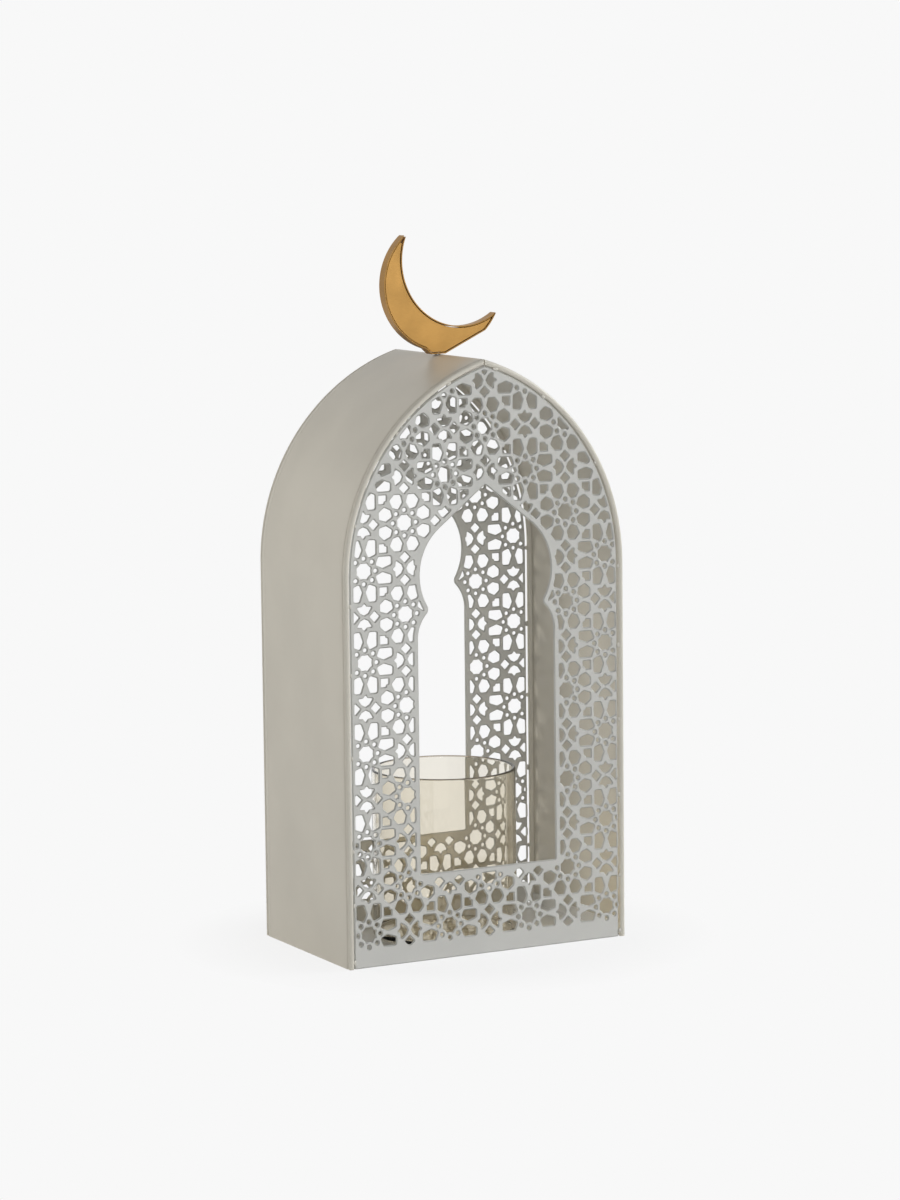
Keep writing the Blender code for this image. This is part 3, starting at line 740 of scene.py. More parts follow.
def weld_tree():
    """Tree of small welds, set on points along an edge, each a little different."""
    tree = Tree("Welds")
    places = tree.object(tree.input("Places", 'NodeSocketObject'))
    size = tree.input("Size", 'NodeSocketVector')
    seed = tree.input("Seed", 'NodeSocketInt')
    depth = tree.input("Depth", 'NodeSocketFloat')
    paint = tree.input("Paint", 'NodeSocketMaterial')

    lumpiness = 0.35
    smallest, largest = 0.75, 1.2
    ball = tree.add('GeometryNodeMeshIcoSphere', {"Radius": 0.5, "Subdivisions": 3})[0]
    lump = tree.add('ShaderNodeTexNoise', {"Scale": 2.2})["Fac"]
    swell = tree.scaled(tree.add('GeometryNodeInputNormal')[0],
                        tree.math('MULTIPLY', tree.math('SUBTRACT', lump, 0.5), lumpiness))
    ball = tree.add('GeometryNodeSetPosition', {"Geometry": ball, "Offset": swell})[0]
    lean = tree.add('GeometryNodeInputNamedAttribute', {"Name": "lean"}, data_type='FLOAT')[0]
    spread = tree.add('FunctionNodeRandomValue', {2: smallest, 3: largest, "Seed": seed},
                      data_type='FLOAT')[1]
    beads = tree.add('GeometryNodeInstanceOnPoints',
                     {"Points": places, "Instance": ball, "Rotation": tree.along(z=lean),
                      "Scale": tree.scaled(size, spread)})[0]
    beads = tree.add('GeometryNodeRealizeInstances', {"Geometry": beads})[0]
    beads = tree.add('GeometryNodeSetShadeSmooth', {"Geometry": beads, "Shade Smooth": True})[0]
    return tree.finish(tree.stood_up(beads, depth), paint)


# Materials.

class Finish(Nodes):
    """A Principled material whose colour and bump come from textures on Object coordinates."""

    noise_range = (0.3, 0.7)  # most of a noise lies between these

    def __init__(self, name, roughness, metallic=0.0):
        self.material = bpy.data.materials.new(name)
        self.material.use_nodes = True
        super().__init__(self.material.node_tree)
        self.shader = self.tree.nodes["Principled BSDF"]
        self.shader.inputs["Roughness"].default_value = roughness
        self.shader.inputs["Metallic"].default_value = metallic
        self.place = self.add('ShaderNodeTexCoord')["Object"]

    def stretched(self, scale):
        """Object coordinates stretched by a scale on each axis."""
        return self.add('ShaderNodeMapping', {"Vector": self.place, "Scale": scale})[0]

    def noise(self, scale, detail, place=None):
        """A noise on Object coordinates, or on a stretched copy of them."""
        return self.add('ShaderNodeTexNoise', {"Vector": place or self.place, "Scale": scale,
                                               "Detail": detail})["Fac"]

    def ramp(self, factor, low, high, start=0.35, end=0.65):
        """A colour that runs from low to high as the factor goes from start to end."""
        node = self.tree.nodes.new('ShaderNodeValToRGB')
        node.color_ramp.elements[0].position = start
        node.color_ramp.elements[1].position = end
        node.color_ramp.elements[0].color = (*low, 1.0)
        node.color_ramp.elements[1].color = (*high, 1.0)
        self.tree.links.new(factor, node.inputs[0])
        return node.outputs[0]

    def value(self, factor, low, high):
        """A number that runs from low to high with a noise."""
        start, end = self.noise_range
        return self.add('ShaderNodeMapRange', {"Value": factor, "From Min": start,
                                               "From Max": end, "To Min": low, "To Max": high})[0]

    def bump(self, height, distance, normal=None):
        """A normal from a height, on top of an earlier one."""
        inputs = {"Height": height, "Distance": distance}
        if normal:
            inputs["Normal"] = normal
        return self.add('ShaderNodeBump', inputs)[0]

    def set(self, **sockets):
        """Set or link the shader's own sockets, named with _ for a space."""
        for name, value in sockets.items():
            target = self.shader.inputs[name.replace("_", " ")]
            if isinstance(value, bpy.types.NodeSocket):
                self.tree.links.new(value, target)
            else:
                target.default_value = value
        return self.material


def shade(colour_value, factor):
    """A lighter or darker version of a colour."""
    return tuple(min(1.0, part * factor) for part in colour_value)


def paint(name, base, variation=0.035, sheen=0.5):
    """Satin paint sprayed on sheet metal: faint cloudy colour and fine orange peel."""
    finish = Finish(name, 0.32)
    clouds = finish.noise(scale=14.0, detail=4.0)
    colour_output = finish.ramp(clouds, shade(base, 1 - variation), shade(base, 1 + variation))
    peel = finish.noise(scale=700.0, detail=2.0)
    strokes = finish.noise(scale=1.0, detail=2.0, place=finish.stretched((40.0, 40.0, 1300.0)))
    normal = finish.bump(peel, 0.004 * MM)
    normal = finish.bump(strokes, 0.003 * MM, normal)
    gloss = finish.value(finish.noise(scale=25.0, detail=1.0), low=0.3, high=0.34)
    return finish.set(Base_Color=colour_output, Roughness=gloss, Normal=normal,
                      Specular_IOR_Level=sheen)


def brass(name, base, roughness):
    """Satin brass with a fine brushed grain across and a little tarnish."""
    finish = Finish(name, roughness, 1.0)
    grain = finish.noise(scale=1.0, detail=2.0, place=finish.stretched((260.0, 260.0, 2600.0)))
    tarnish = finish.noise(scale=55.0, detail=4.0)
    colour_output = finish.ramp(tarnish, shade(base, 0.9), shade(base, 1.07))
    normal = finish.bump(grain, 0.02 * MM)
    gloss = finish.value(grain, roughness - 0.05, roughness + 0.07)
    return finish.set(Base_Color=colour_output, Roughness=gloss, Normal=normal)


def plain_metal(name, base, roughness):
    """Turned or plated metal with faint blotches and a fine tooled grain."""
    finish = Finish(name, roughness, 1.0)
    blotches = finish.noise(scale=400.0, detail=3.0)
    colour_output = finish.ramp(blotches, shade(base, 0.85), shade(base, 1.05))
    normal = finish.bump(finish.noise(scale=2400.0, detail=2.0), 0.01 * MM)
    return finish.set(Base_Color=colour_output, Normal=normal)


def cup_glass(name, tint, rim_height):
    """Clear glass with a faint warm tint and painted shade darkening the polished lip, that lets
    lamps through.
    """
    # The dark tint near the lip is painted shade: the dark line that the thick rim shows.
    lip_shade_tint = (0.2, 0.15, 0.1)
    lip_shade_start = rim_height - 1.1 * MM
    lip_shade_end = rim_height - 0.4 * MM
    finish = Finish(name, 0.02)
    ripples = finish.noise(scale=1.0, detail=1.0, place=finish.stretched((60.0, 60.0, 9.0)))
    normal = finish.bump(ripples, 0.25 * MM)
    height = finish.add('ShaderNodeSeparateXYZ', {"Vector": finish.place})["Z"]
    lip = finish.add('ShaderNodeMapRange', {"Value": height, "From Min": lip_shade_start,
                                            "From Max": lip_shade_end})[0]
    colour_output = finish.ramp(lip, tint, lip_shade_tint, 0.0, 1.0)
    material = finish.set(Base_Color=colour_output, Normal=normal, IOR=1.47,
                          Transmission_Weight=1.0)
    clear = finish.add('ShaderNodeBsdfTransparent', {"Color": (*tint, 1.0)})[0]
    shadow = finish.add('ShaderNodeLightPath')["Is Shadow Ray"]
    mixed = finish.add('ShaderNodeMixShader', {0: shadow, 1: finish.shader.outputs[0],
                                               2: clear})[0]
    output = next(n for n in finish.tree.nodes if n.type == 'OUTPUT_MATERIAL')
    finish.tree.links.new(mixed, output.inputs[0])
    return material


def floor_material(stage_finish):
    """A pale floor that shows the background's brightness and keeps the lantern's soft shadow."""
    shadow_start = 0.11
    shadow_end = 0.18
    material = bpy.data.materials.new("pale_floor")
    material.use_nodes = True
    nodes = Nodes(material.node_tree)
    nodes.tree.nodes.clear()
    bright = stage_finish.background
    lit = nodes.add('ShaderNodeBsdfDiffuse', {"Color": (bright, bright, bright, 1.0)})[0]
    plain = nodes.add('ShaderNodeEmission', {"Color": (1.0, 1.0, 1.0, 1.0),
                                             "Strength": bright})[0]
    place = nodes.add('ShaderNodeTexCoord')["Object"]
    distance = nodes.add('ShaderNodeVectorMath', {0: place}, operation='LENGTH')["Value"]
    near = nodes.add('ShaderNodeMapRange', {
        "Value": distance, "From Min": shadow_start, "From Max": shadow_end,
        "To Min": stage_finish.shadow, "To Max": 0.0})[0]
    shown = nodes.add('ShaderNodeMixShader', {0: near, 1: plain, 2: lit})[0]
    mixed = nodes.add('ShaderNodeMixShader', {0: seen_by_eye(nodes), 1: lit, 2: shown})[0]
    nodes.add('ShaderNodeOutputMaterial', {"Surface": mixed})
    return material


def seen_by_eye(nodes):
    """Light Path's camera, glossy and transmission rays together."""
    path = nodes.add('ShaderNodeLightPath')
    either = nodes.math('MAXIMUM', path["Is Camera Ray"], path["Is Glossy Ray"])
    return nodes.math('MAXIMUM', either, path["Is Transmission Ray"])


# The lattice's hole outlines, drawn on a cell of 60 units about a star or a crossing.

CELL_UNITS = 60.0
BROAD_PETAL = [(2.9, 18.3), (1.5, 13.4), (4.3, 8.9), (8.4, 10.1), (10.6, 14.7), (7.4, 18.4)]
LONG_PETAL = [(3.6, 20.0), (1.4, 13.8), (3.6, 8.7), (8.7, 10.7), (8.7, 19.9)]
CROWN = [(-5.3, 6.4), (-2.8, 2.6), (0.0, 1.3), (2.8, 2.6), (5.3, 6.4), (1.7, 6.8), (0.0, 8.8),
         (-1.7, 6.8)]
DIAMOND = [(3.9, 0.0), (7.4, -3.5), (10.9, 0.0), (9.2, 1.5), (8.7, 2.2), (7.4, 3.5)]
NOTCHED_SQUARE = [(11.4, 11.4), (16.8, 11.4), (16.8, 14.9), (15.4, 15.4), (14.9, 16.8),
                  (11.4, 16.8)]
STAR_TIP = 5.5
STAR_NOTCH = 4.85
ROUND_HOLE = 1.3
ROUND_HOLE_PLACE = 8.4


def turned_outline(outline, angle, flipped=False):
    """An outline turned about its star or crossing, mirrored first where flipped."""
    points = [(-x, y) for x, y in reversed(outline)] if flipped else outline
    cosine = math.cos(angle)
    sine = math.sin(angle)
    return [(x * cosine - y * sine, x * sine + y * cosine) for x, y in points]


def star_hole():
    """The star itself, with eight blunt lobes."""
    outline = []
    for lobe in range(8):
        for angle, radius in ((lobe, STAR_NOTCH), (lobe + 0.5, STAR_TIP)):
            outline.append((radius * math.cos(angle * math.pi / 4),
                            radius * math.sin(angle * math.pi / 4)))
    return outline


def around_star(petal, has_squares):
    """All holes round one star. Petals and round holes are marked as such."""
    holes = [(False, star_hole())]
    side = ROUND_HOLE
    square = [(-side, -side), (side, -side), (side, side), (-side, side)]
    for eighth in range(8):
        centre = [(x + ROUND_HOLE_PLACE, y) for x, y in square]
        holes.append((True, turned_outline(centre, eighth * math.pi / 4)))
    for quarter in range(4):
        angle = quarter * math.pi / 2
        holes.append((True, turned_outline(petal, angle)))
        holes.append((True, turned_outline(petal, angle, True)))
        if has_squares:
            holes.append((False, turned_outline(NOTCHED_SQUARE, angle)))
    return holes


def around_crossing(angle):
    """All holes at a crossing between four stars."""
    holes = []
    for half in (0.0, math.pi):
        holes.append((False, turned_outline(CROWN, angle + half)))
        holes.append((False, turned_outline(DIAMOND, angle + half)))
    return holes


def cell_outlines(pitch):
    """The holes of one cell of two stars and two crossings, at their real size."""
    half_cell = CELL_UNITS / 2
    groups = [((0, 0), around_crossing(math.pi / 2)), ((1, 0), around_star(LONG_PETAL, True)),
              ((0, 1), around_star(BROAD_PETAL, False)), ((1, 1), around_crossing(0.0))]
    scale = pitch / CELL_UNITS
    outlines = []
    for (column, row), holes in groups:
        for is_petal, hole in holes:
            outline = [((x + column * half_cell) * scale, (y + row * half_cell) * scale)
                       for x, y in hole]
            outlines.append((is_petal, outline))
    return outlines


def edge_profile(sheet, radius, steps):
    """Section of a cut edge as (distance into the metal, depth), with both corners rounded."""
    half = sheet / 2
    lower = arc((radius, radius - half), radius, 1.5 * math.pi, math.pi, steps)
    upper = arc((radius, half - radius), radius, math.pi, 0.5 * math.pi, steps)
    return lower + upper


# Operators. Each makes one piece or a group of like pieces.

class LanternOperator:
    """What the operators share."""
    bl_options = {'REGISTER', 'UNDO'}

    def execute(self, context):
        settings = context.scene.lantern
        self.build(settings, Body(settings))
        return {'FINISHED'}


class LANTERN_OT_shell(LanternOperator, bpy.types.Operator):
    """Make the painted strip that forms the sides and the pointed roof"""
    bl_idname = "lantern.shell"
    bl_label = "Shell"

    # The bead's roll, from where it closes on the wall to its free end inside.
    roll_start = 0.8 * math.pi
    roll_end = 2.25 * math.pi
    roll_steps = 18
    hole_sides = 32
    past_edge = 1.0  # how far the slits' cutters reach beyond the strip

    def build(self, settings, body):
        shell = settings.shell
        section = drawn_curve("shell_section", [self.section(shell, body)])
        side = subdivided([(body.half_width, 0.0), (body.half_width, body.side_height)],
                          shell.mesh_size)
        right = side[:-1] + body.arch_side(0.0, shell.arch_steps)
        left = [(-x, y) for x, y in right[:-1]]
        path = drawn_curve("shell_path", [left + right[::-1]], closed=False)
        cutters = self.cutters(shell, body)
        # The strip's paint colour holds painted warm light, warmer and lighter than the faces'
        # paint.
        strip = strip_tree().make("painted_shell", {
            "Path": path, "Section": section, "Cutters": cutters, "Waviness": shell.waviness,
            "Waves per metre": 1 / shell.wave_size,
            "Plain half width": body.half_depth - shell.hem,
            "Material": paint("shell_paint", settings.finish.shell_paint, sheen=0.2)})
        remove(section, path, cutters)
        finish_piece(smooth(strip), "lantern", ["shell_strip"])

    def section(self, shell, body):
        """Section of the strip as (distance in from the outer surface, depth)."""
        radius = shell.bead / 2
        edge = body.half_depth
        bead = arc((radius, radius - edge), radius, self.roll_start, self.roll_end,
                   self.roll_steps)
        hem_end = shell.hem - edge
        front = [(0.0, hem_end + 2 * shell.hem_step), (shell.hem_step, hem_end), (0.0, hem_end),
                 (0.0, shell.bead + shell.groove - edge), (shell.groove, shell.bead - edge)]
        front += bead
        front += [(shell.sheet, shell.bead - edge)]
        back = [(inset, -y) for inset, y in reversed(front)]
        return subdivided(front + back, shell.mesh_size, closed=True)

    def cutters(self, shell, body):
        """Two slits through the beads at the ridge and the bolt's hole."""
        top = body.ridge + shell.bead
        low = body.ridge - 2 * shell.bead
        half = shell.slit_width / 2
        inner = body.half_depth - shell.slit_depth
        outer = body.half_depth + self.past_edge
        hole = arc((0.0, 0.0), shell.bolt_hole, 0.0, 2 * math.pi, self.hole_sides)[:-1]

        def fill(grid):
            for front, back in ((-outer, -inner), (inner, outer)):
                add_prism(grid, [(-half, front), (half, front), (half, back), (-half, back)],
                          low, top)
            add_prism(grid, hole, low, top)
        return drawn_mesh("ridge_cutters", fill)


class LANTERN_OT_faces(LanternOperator, bpy.types.Operator):
    """Make the two pierced faces"""
    bl_idname = "lantern.faces"
    bl_label = "Pierced faces"

    cutter_height = 4 * MM
    field_steps = 30
    foot_corner = 0.6 * MM
    foot_corner_steps = 3
    sill_corner_steps = 4

    def build(self, settings, body):
        lattice = settings.lattice
        opening = settings.opening
        low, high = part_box("front_lattice")
        sheet = high.y - low.y
        cell = drawn_mesh("lattice_cell", lambda grid: self.cell(grid, lattice))
        field = drawn_curve("lattice_field", [self.field(lattice, body),
                                              keyhole(opening, opening.border)])
        outline = drawn_curve("face_outline", self.outlines(settings, body))
        edge = drawn_curve("face_edge", [edge_profile(sheet, lattice.edge_round,
                                                      lattice.edge_steps)], closed=False)
        half_columns = math.ceil(body.half_width / lattice.pitch)
        face_paint = paint("face_paint", settings.finish.face_paint, 0.025)
        # The grid starts one row below the first and runs past the ridge.
        rows = math.ceil(body.ridge / lattice.pitch) + 2
        front = lattice_tree(self.cutter_height).make("front_face", {
            "Cell": cell, "Field": field, "Outline": outline, "Edge": edge,
            "Pitch": lattice.pitch, "Columns": 2 * half_columns + 1, "Rows": rows,
            "First row": lattice.first_row, "Smallest hole": lattice.smallest,
            "Corner points": lattice.corner_points, "Edge rounding": lattice.edge_round,
            "Sheet": sheet, "Depth": (low.y + high.y) / 2, "Paint": face_paint})
        back = link(bpy.data.objects.new("back_face", front.data.copy()))
        back.data.transform(Matrix.Translation((0.0, -(low.y + high.y), 0.0)))
        remove(cell, field, outline, edge)
        finish_piece(front, "lantern", ["front_lattice"])
        finish_piece(back, "lantern", ["back_lattice"])

    def cell(self, grid, lattice):
        """The holes of one cell, each marked with the radius of its corners."""
        corner = grid.faces.layers.float.new("corner")
        for is_petal, outline in cell_outlines(lattice.pitch):
            face = grid.faces.new([grid.verts.new((x, y, 0.0)) for x, y in outline])
            face[corner] = lattice.petal_corner if is_petal else lattice.star_corner

    def field(self, lattice, body):
        """The part of a face that may be pierced."""
        side = body.half_width - body.face_inset - lattice.side_margin
        top = body.arch_side(body.face_inset + lattice.arch_margin, self.field_steps)
        return mirrored([(side, lattice.bottom_band)] + [(min(x, side), y) for x, y in top])

    def outlines(self, settings, body):
        """Outer edge, clockwise, and opening, anticlockwise, so the metal is on their right."""
        lattice = settings.lattice
        opening = settings.opening
        side = body.half_width - body.face_inset
        right = [(side, 0.0)] + body.arch_side(body.face_inset, settings.shell.arch_steps)
        outer = [(x - (lattice.right_shift if x > 0 else lattice.left_shift) * abs(x) / side, y)
                 for x, y in mirrored(right)[::-1]]
        return [rounded(outer, self.foot_corner, self.foot_corner_steps),
                rounded(keyhole(opening, 0.0), opening.corner, self.sill_corner_steps)]


class LANTERN_OT_welds(LanternOperator, bpy.types.Operator):
    """Make the small welds between the faces and the shell"""
    bl_idname = "lantern.welds"
    bl_label = "Welds"

    # How far each weld lies from the foot, in millimetres along the edge.
    left_places = (4, 41, 76, 136, 189, 233, 284, 349, 397)
    right_places = (4, 41, 95, 145, 194, 246, 317, 376, 416)

    def build(self, settings, body):
        weld = settings.weld
        gap_middle = settings.shell.bead + settings.lattice.face_gap / 2
        places = self.places(body, gap_middle)
        tree = weld_tree()
        face_paint = bpy.data.materials["face_paint"]
        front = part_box("front_lattice")[0].y
        for name, depth in (("front_welds", front), ("back_welds", -front)):
            inwards = weld.height / 2 if depth < 0 else -weld.height / 2
            welds = tree.make(name, {
                "Places": places, "Size": (weld.width, weld.length, weld.height * 2),
                "Seed": weld.seed, "Depth": depth + inwards, "Paint": face_paint})
            finish_piece(welds, "lantern", [])
        remove(places)

    def places(self, body, inset):
        """Points in the gap at each weld, with the direction of the edge there."""
        leans = []
        points = []
        for side, distances in ((1, self.right_places), (-1, self.left_places)):
            for distance in distances:
                x, y, direction = body.edge_point(distance * MM, inset)
                points.append((side * x, y, 0.0))
                leans.append(side * (direction - math.pi / 2))
        mesh = bpy.data.meshes.new("weld_places")
        mesh.from_pydata(points, [], [])
        attribute = mesh.attributes.new("lean", 'FLOAT', 'POINT')
        attribute.data.foreach_set("value", leans)
        return link(bpy.data.objects.new("weld_places", mesh))


class LANTERN_OT_tray(LanternOperator, bpy.types.Operator):
    """Make the painted tray that the cup stands on"""
    bl_idname = "lantern.tray"
    bl_label = "Tray"

    def build(self, settings, body):
        tray = dressed_copy("base_tray", "painted_tray", settings.fixing.tray_round)
        # The tray's colour is painted lighter than the faces' paint, as painted light inside the
        # lantern.
        finish_piece(tray, "lantern", ["base_tray"],
                     paint("tray_paint", settings.finish.tray_paint))


class LANTERN_OT_cup(LanternOperator, bpy.types.Operator):
    """Make the glass cup"""
    bl_idname = "lantern.cup"
    bl_label = "Glass cup"

    wall_step = 8 * MM

    def build(self, settings, body):
        cup = settings.cup
        low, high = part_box("glass_cup")
        radius = high.x
        inner = radius - cup.wall
        floor = low.z + cup.floor
        lip = cup.lip
        foot = cup.foot_round
        profile = [(0.0, low.z)]
        profile += arc((radius - foot, low.z + foot), foot, -math.pi / 2, 0.0, cup.steps)
        profile += subdivided([(radius, low.z + foot + foot), (radius, high.z - 2 * lip)],
                              self.wall_step)
        profile += arc((radius - lip, high.z - lip), lip, 0.0, math.pi / 2, cup.steps)
        profile += arc((inner + lip, high.z - lip), lip, math.pi / 2, math.pi, cup.steps)
        profile += subdivided([(inner, high.z - 2 * lip), (inner, floor + foot + foot)],
                              self.wall_step)
        profile += arc((inner - foot, floor + foot), foot, 0.0, -math.pi / 2, cup.steps)
        profile += [(0.0, floor)]
        glass = turned("candle_cup", profile, cup.sides)
        finish_piece(smooth(glass), "cup", ["glass_cup"],
                     cup_glass("cup_glass", settings.finish.glass, high.z))


class LANTERN_OT_crescent(LanternOperator, bpy.types.Operator):
    """Make the hollow brass crescent of two plates and two bands"""
    bl_idname = "lantern.crescent"
    bl_label = "Crescent"

    def build(self, settings, body):
        crescent = settings.crescent
        low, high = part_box("crescent_outer_band")
        self.base = low.z
        self.centre = Vector((crescent.shift, low.z + crescent.foot_height + crescent.radius))
        half_depth = high.y
        plate_brass = brass("plate_brass", settings.finish.plate_brass, 0.5)
        # The bands' darker brass is painted shade on the crescent's edges.
        band_brass = brass("band_brass", settings.finish.band_brass, 0.42)
        outward, inward = self.arcs(crescent, crescent.sheet + crescent.gap)
        for name, node, front in (
                ("crescent_front", "crescent_front_plate", crescent.inset - half_depth),
                ("crescent_back", "crescent_back_plate",
                 half_depth - crescent.inset - crescent.sheet)):
            plate = self.standing_prism(name, outward + inward, front, front + crescent.sheet)
            bevelled(plate, crescent.edge_round)
            finish_piece(plate, "lantern", [node], plate_brass)
        outer, hollow = self.arcs(crescent, 0.0)
        lining, hollow_lining = self.arcs(crescent, crescent.sheet)
        for name, node, outline in (
                ("crescent_rim", "crescent_outer_band", outer + lining[::-1]),
                ("crescent_hollow_rim", "crescent_inner_band", hollow + hollow_lining[::-1])):
            band = self.standing_prism(name, outline, -half_depth, half_depth)
            bevelled(band, crescent.edge_round)
            finish_piece(band, "lantern", [node], band_brass)

    def arcs(self, crescent, inset):
        """Outer line with its foot and inner line of the crescent, set in by inset."""
        outer = crescent.radius - inset
        inner = crescent.hollow_radius + inset
        shift = crescent.hollow_shift
        angle = crescent.hollow_angle
        along = (shift ** 2 + outer ** 2 - inner ** 2) / (2 * shift)
        open_half = math.acos(along / outer)
        along = (shift ** 2 + inner ** 2 - outer ** 2) / (2 * shift)
        hollow_half = math.acos(along / inner)
        start = angle + open_half + crescent.upper_cut / outer
        end = angle + 2 * math.pi - open_half - crescent.side_cut / outer
        base = self.base + inset
        corner = crescent.foot_corner * inset
        right_steps = crescent.steps // 5
        outward = arc(self.centre, outer, start, crescent.foot_left_angle, crescent.steps)
        outward += [(corner - crescent.foot_left, base), (crescent.foot_right - corner, base)]
        outward += arc(self.centre, outer, crescent.foot_right_angle, end, right_steps)
        hollow_centre = self.centre + Vector((math.cos(angle), math.sin(angle))) * shift
        inward = arc(hollow_centre, inner,
                     angle + math.pi + hollow_half - crescent.side_cut / inner,
                     angle + math.pi - hollow_half + crescent.upper_cut / inner, crescent.steps)
        return outward, inward

    def standing_prism(self, name, outline, front, back):
        """A prism that stands in the lantern's plane, from front to back."""
        obj = drawn_mesh(name, lambda grid: add_prism(grid, outline, -back, -front))
        obj.data.transform(Matrix.Rotation(math.pi / 2, 4, 'X'))
        return obj


class LANTERN_OT_fixings(LanternOperator, bpy.types.Operator):
    """Make the bolt, the saddle and the nut under the ridge"""
    bl_idname = "lantern.fixings"
    bl_label = "Fixings"

    # The bolt's blunt tip, its head's edges and the height of the head's dome.
    tip = 0.4 * MM
    chamfer = 0.2 * MM
    dome = 0.9 * MM
    rows_per_turn = 4

    def build(self, settings, body):
        fixing = settings.fixing
        zinc = plain_metal("fixing_zinc", settings.finish.zinc, 0.33)
        saddle_metal = plain_metal("saddle_metal", settings.finish.saddle, 0.5)
        saddle = dressed_copy("ridge_saddle", "saddle_block", fixing.edge_round)
        finish_piece(saddle, "lantern", ["ridge_saddle"], saddle_metal)
        nut = dressed_copy("ridge_nut", "fixing_nut", fixing.edge_round / 2)
        finish_piece(nut, "lantern", ["ridge_nut"], zinc)
        finish_piece(smooth(self.bolt(fixing)), "lantern", ["crescent_bolt"], zinc)

    def bolt(self, fixing):
        """The bolt with its thread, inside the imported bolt's own surface."""
        low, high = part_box("crescent_bolt")
        saddle_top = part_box("ridge_saddle")[1].z
        head_radius = high.x
        shank = fixing.shank
        head_bottom = high.z - fixing.head_height
        pitch = fixing.thread_pitch
        rows = math.ceil((saddle_top - low.z) / pitch * self.rows_per_turn)
        profile = [(0.0, low.z), (shank - self.tip, low.z)]
        for row in range(1, rows):
            profile.append((shank, low.z + row * pitch / self.rows_per_turn))
        profile += [(shank, head_bottom), (head_radius - self.chamfer, head_bottom),
                    (head_radius, head_bottom + self.chamfer), (head_radius, high.z - self.dome),
                    (head_radius * 0.8, high.z - self.chamfer), (head_radius * 0.4, high.z),
                    (0.0, high.z)]

        def thread(radius, height, angle):
            """Radius of the thread's crest or root at a place on the shank."""
            if radius != shank or height > saddle_top:
                return radius
            phase = ((height - low.z) / pitch - angle / (2 * math.pi)) % 1.0
            return radius - fixing.thread_depth * abs(2 * phase - 1)
        return turned("fixing_bolt", profile, fixing.sides, thread)


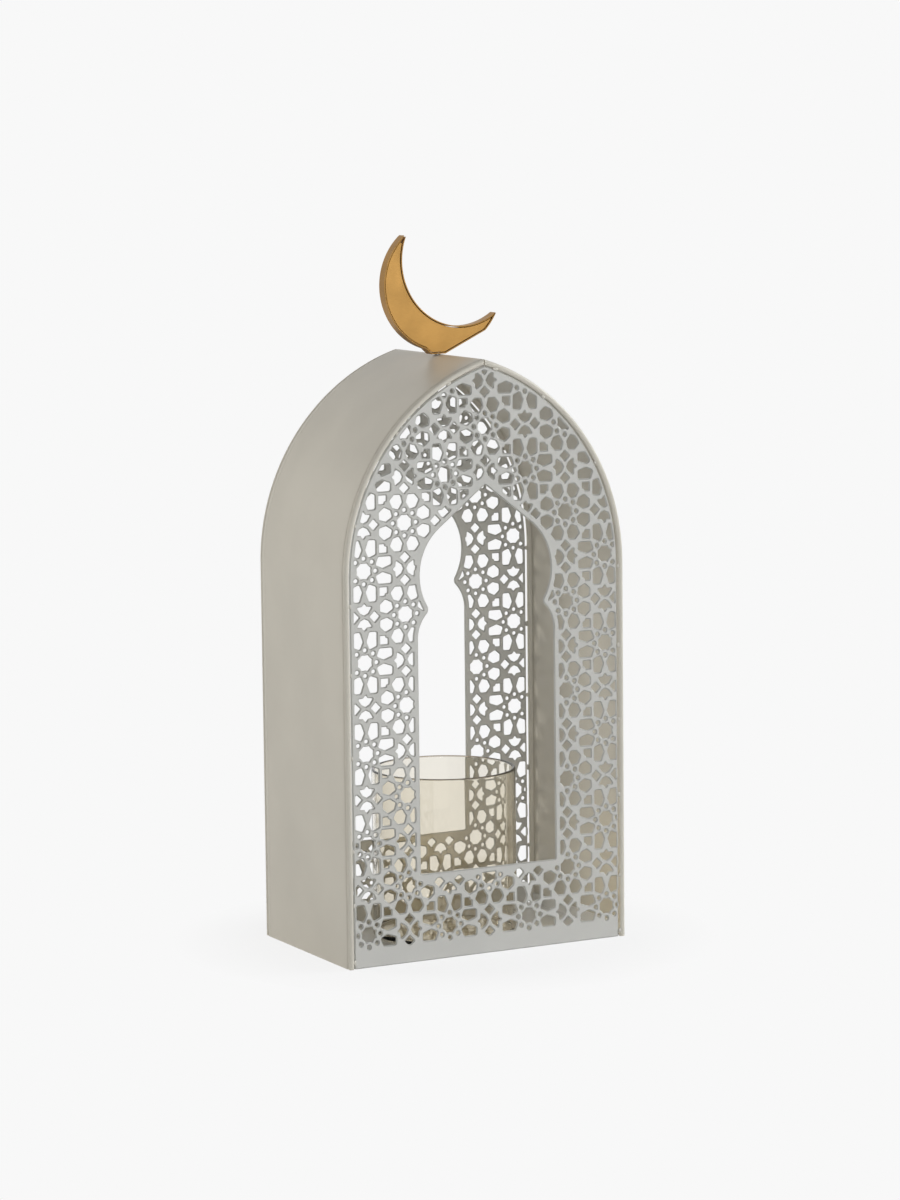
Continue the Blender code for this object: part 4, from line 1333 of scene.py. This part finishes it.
class LANTERN_OT_stage(LanternOperator, bpy.types.Operator):
    """Set up the floor, the background, the lights and the camera"""
    bl_idname = "lantern.stage"
    bl_label = "Stage"

    # Where each lamp hangs and how wide it is, in metres.
    key_lamp = (2.4, -0.65, 1.5), 0.7
    front_lamp = (-0.5, -2.6, 0.9), 1.6
    back_lamp = (-1.5, 1.7, 1.0), 1.0
    # The even light changes between these heights of a direction of length 1.
    low_end = 0.1
    top_start = 0.8
    floor_radius = 4.0
    floor_sides = 96

    def build(self, settings, body):
        stage = settings.stage
        self.floor(settings)
        self.world(settings)
        aim = Vector((0.0, 0.0, body.ridge / 2))
        self.light("key_light", aim, self.key_lamp, stage.key_power, stage.key_colour)
        self.light("front_light", aim, self.front_lamp, stage.front_power, stage.front_colour)
        self.light("back_light", aim, self.back_lamp, stage.back_power, stage.back_colour,
                   mirrored=False)
        self.camera(stage)
        bpy.context.scene.view_settings.view_transform = 'Standard'

    def floor(self, settings):
        """A round floor, far wider than the lantern."""
        def fill(grid):
            bmesh.ops.create_circle(grid, cap_ends=True, radius=self.floor_radius,
                                    segments=self.floor_sides)
        floor = drawn_mesh("pale_floor", fill)
        floor.data.materials.append(floor_material(settings.finish))

    def world(self, settings):
        """Even light all round, seen by the eye as the pale background."""
        stage = settings.stage
        bright = settings.finish.background
        world = bpy.data.worlds.new("studio")
        bpy.context.scene.world = world
        world.use_nodes = True
        nodes = Nodes(world.node_tree)
        direction = nodes.add('ShaderNodeTexCoord')["Generated"]
        height = nodes.add('ShaderNodeSeparateXYZ', {"Vector": direction})["Z"]
        level = nodes.add('ShaderNodeMapRange', {"Value": height, "From Min": self.low_end,
                                                 "From Max": self.top_start})[0]
        lighting = nodes.colours_mixed(level, (*shade(stage.low_colour, stage.low_light), 1.0),
                                       (*shade(stage.top_colour, stage.top_light), 1.0))
        shown = nodes.colours_mixed(seen_by_eye(nodes), lighting, (bright, bright, bright, 1.0))
        nodes.tree.links.new(shown, nodes.tree.nodes["Background"].inputs["Color"])

    def light(self, name, aim, lamp, power, tint, mirrored=True):
        """A square lamp turned to aim. One that isn't mirrored shows in no glossy surface."""
        place, size = lamp
        data = bpy.data.lights.new(name, 'AREA')
        data.size = size
        data.energy = power
        data.color = tint
        light = link(bpy.data.objects.new(name, data))
        light.location = place
        light.rotation_euler = (aim - Vector(place)).to_track_quat('-Z', 'Y').to_euler()
        light.visible_glossy = mirrored

    def camera(self, stage):
        """The camera that was fitted to the star centres of both faces."""
        data = bpy.data.cameras.new("camera")
        data.lens = stage.lens
        camera = link(bpy.data.objects.new("camera", data))
        look = Euler((math.pi / 2 - stage.camera_tilt, 0.0, stage.camera_turn)).to_matrix().to_4x4()
        roll = Matrix.Rotation(stage.camera_roll, 4, 'Z')
        camera.matrix_world = Matrix.Translation(stage.camera_place) @ look @ roll
        bpy.context.scene.camera = camera


OPERATORS = (LANTERN_OT_shell, LANTERN_OT_faces, LANTERN_OT_welds, LANTERN_OT_tray,
             LANTERN_OT_cup, LANTERN_OT_crescent, LANTERN_OT_fixings, LANTERN_OT_stage)


class LANTERN_PT_pieces(bpy.types.Panel):
    """The lantern's pieces and the stage"""
    bl_label = "Lantern"
    bl_idname = "LANTERN_PT_pieces"
    bl_space_type = 'VIEW_3D'
    bl_region_type = 'UI'
    bl_category = "Lantern"

    def draw(self, context):
        for operator in OPERATORS:
            self.layout.operator(operator.bl_idname)


SETTINGS = (ShellSettings, OpeningSettings, LatticeSettings, WeldSettings, CrescentSettings,
            CupSettings, FixingSettings, FinishSettings, StageSettings, LanternSettings)
CLASSES = SETTINGS + OPERATORS + (LANTERN_PT_pieces,)


def register():
    """Add the classes and the scene's settings."""
    for cls in CLASSES:
        bpy.utils.register_class(cls)
    bpy.types.Scene.lantern = PointerProperty(type=LanternSettings)


def unregister():
    """Take them away again."""
    del bpy.types.Scene.lantern
    for cls in reversed(CLASSES):
        bpy.utils.unregister_class(cls)


def main():
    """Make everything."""
    register()
    bpy.ops.lantern.shell()
    bpy.ops.lantern.faces()
    bpy.ops.lantern.welds()
    bpy.ops.lantern.tray()
    bpy.ops.lantern.cup()
    bpy.ops.lantern.crescent()
    bpy.ops.lantern.fixings()
    bpy.ops.lantern.stage()
    bpy.context.view_layer.update()


if __name__ == "__main__":
    main()
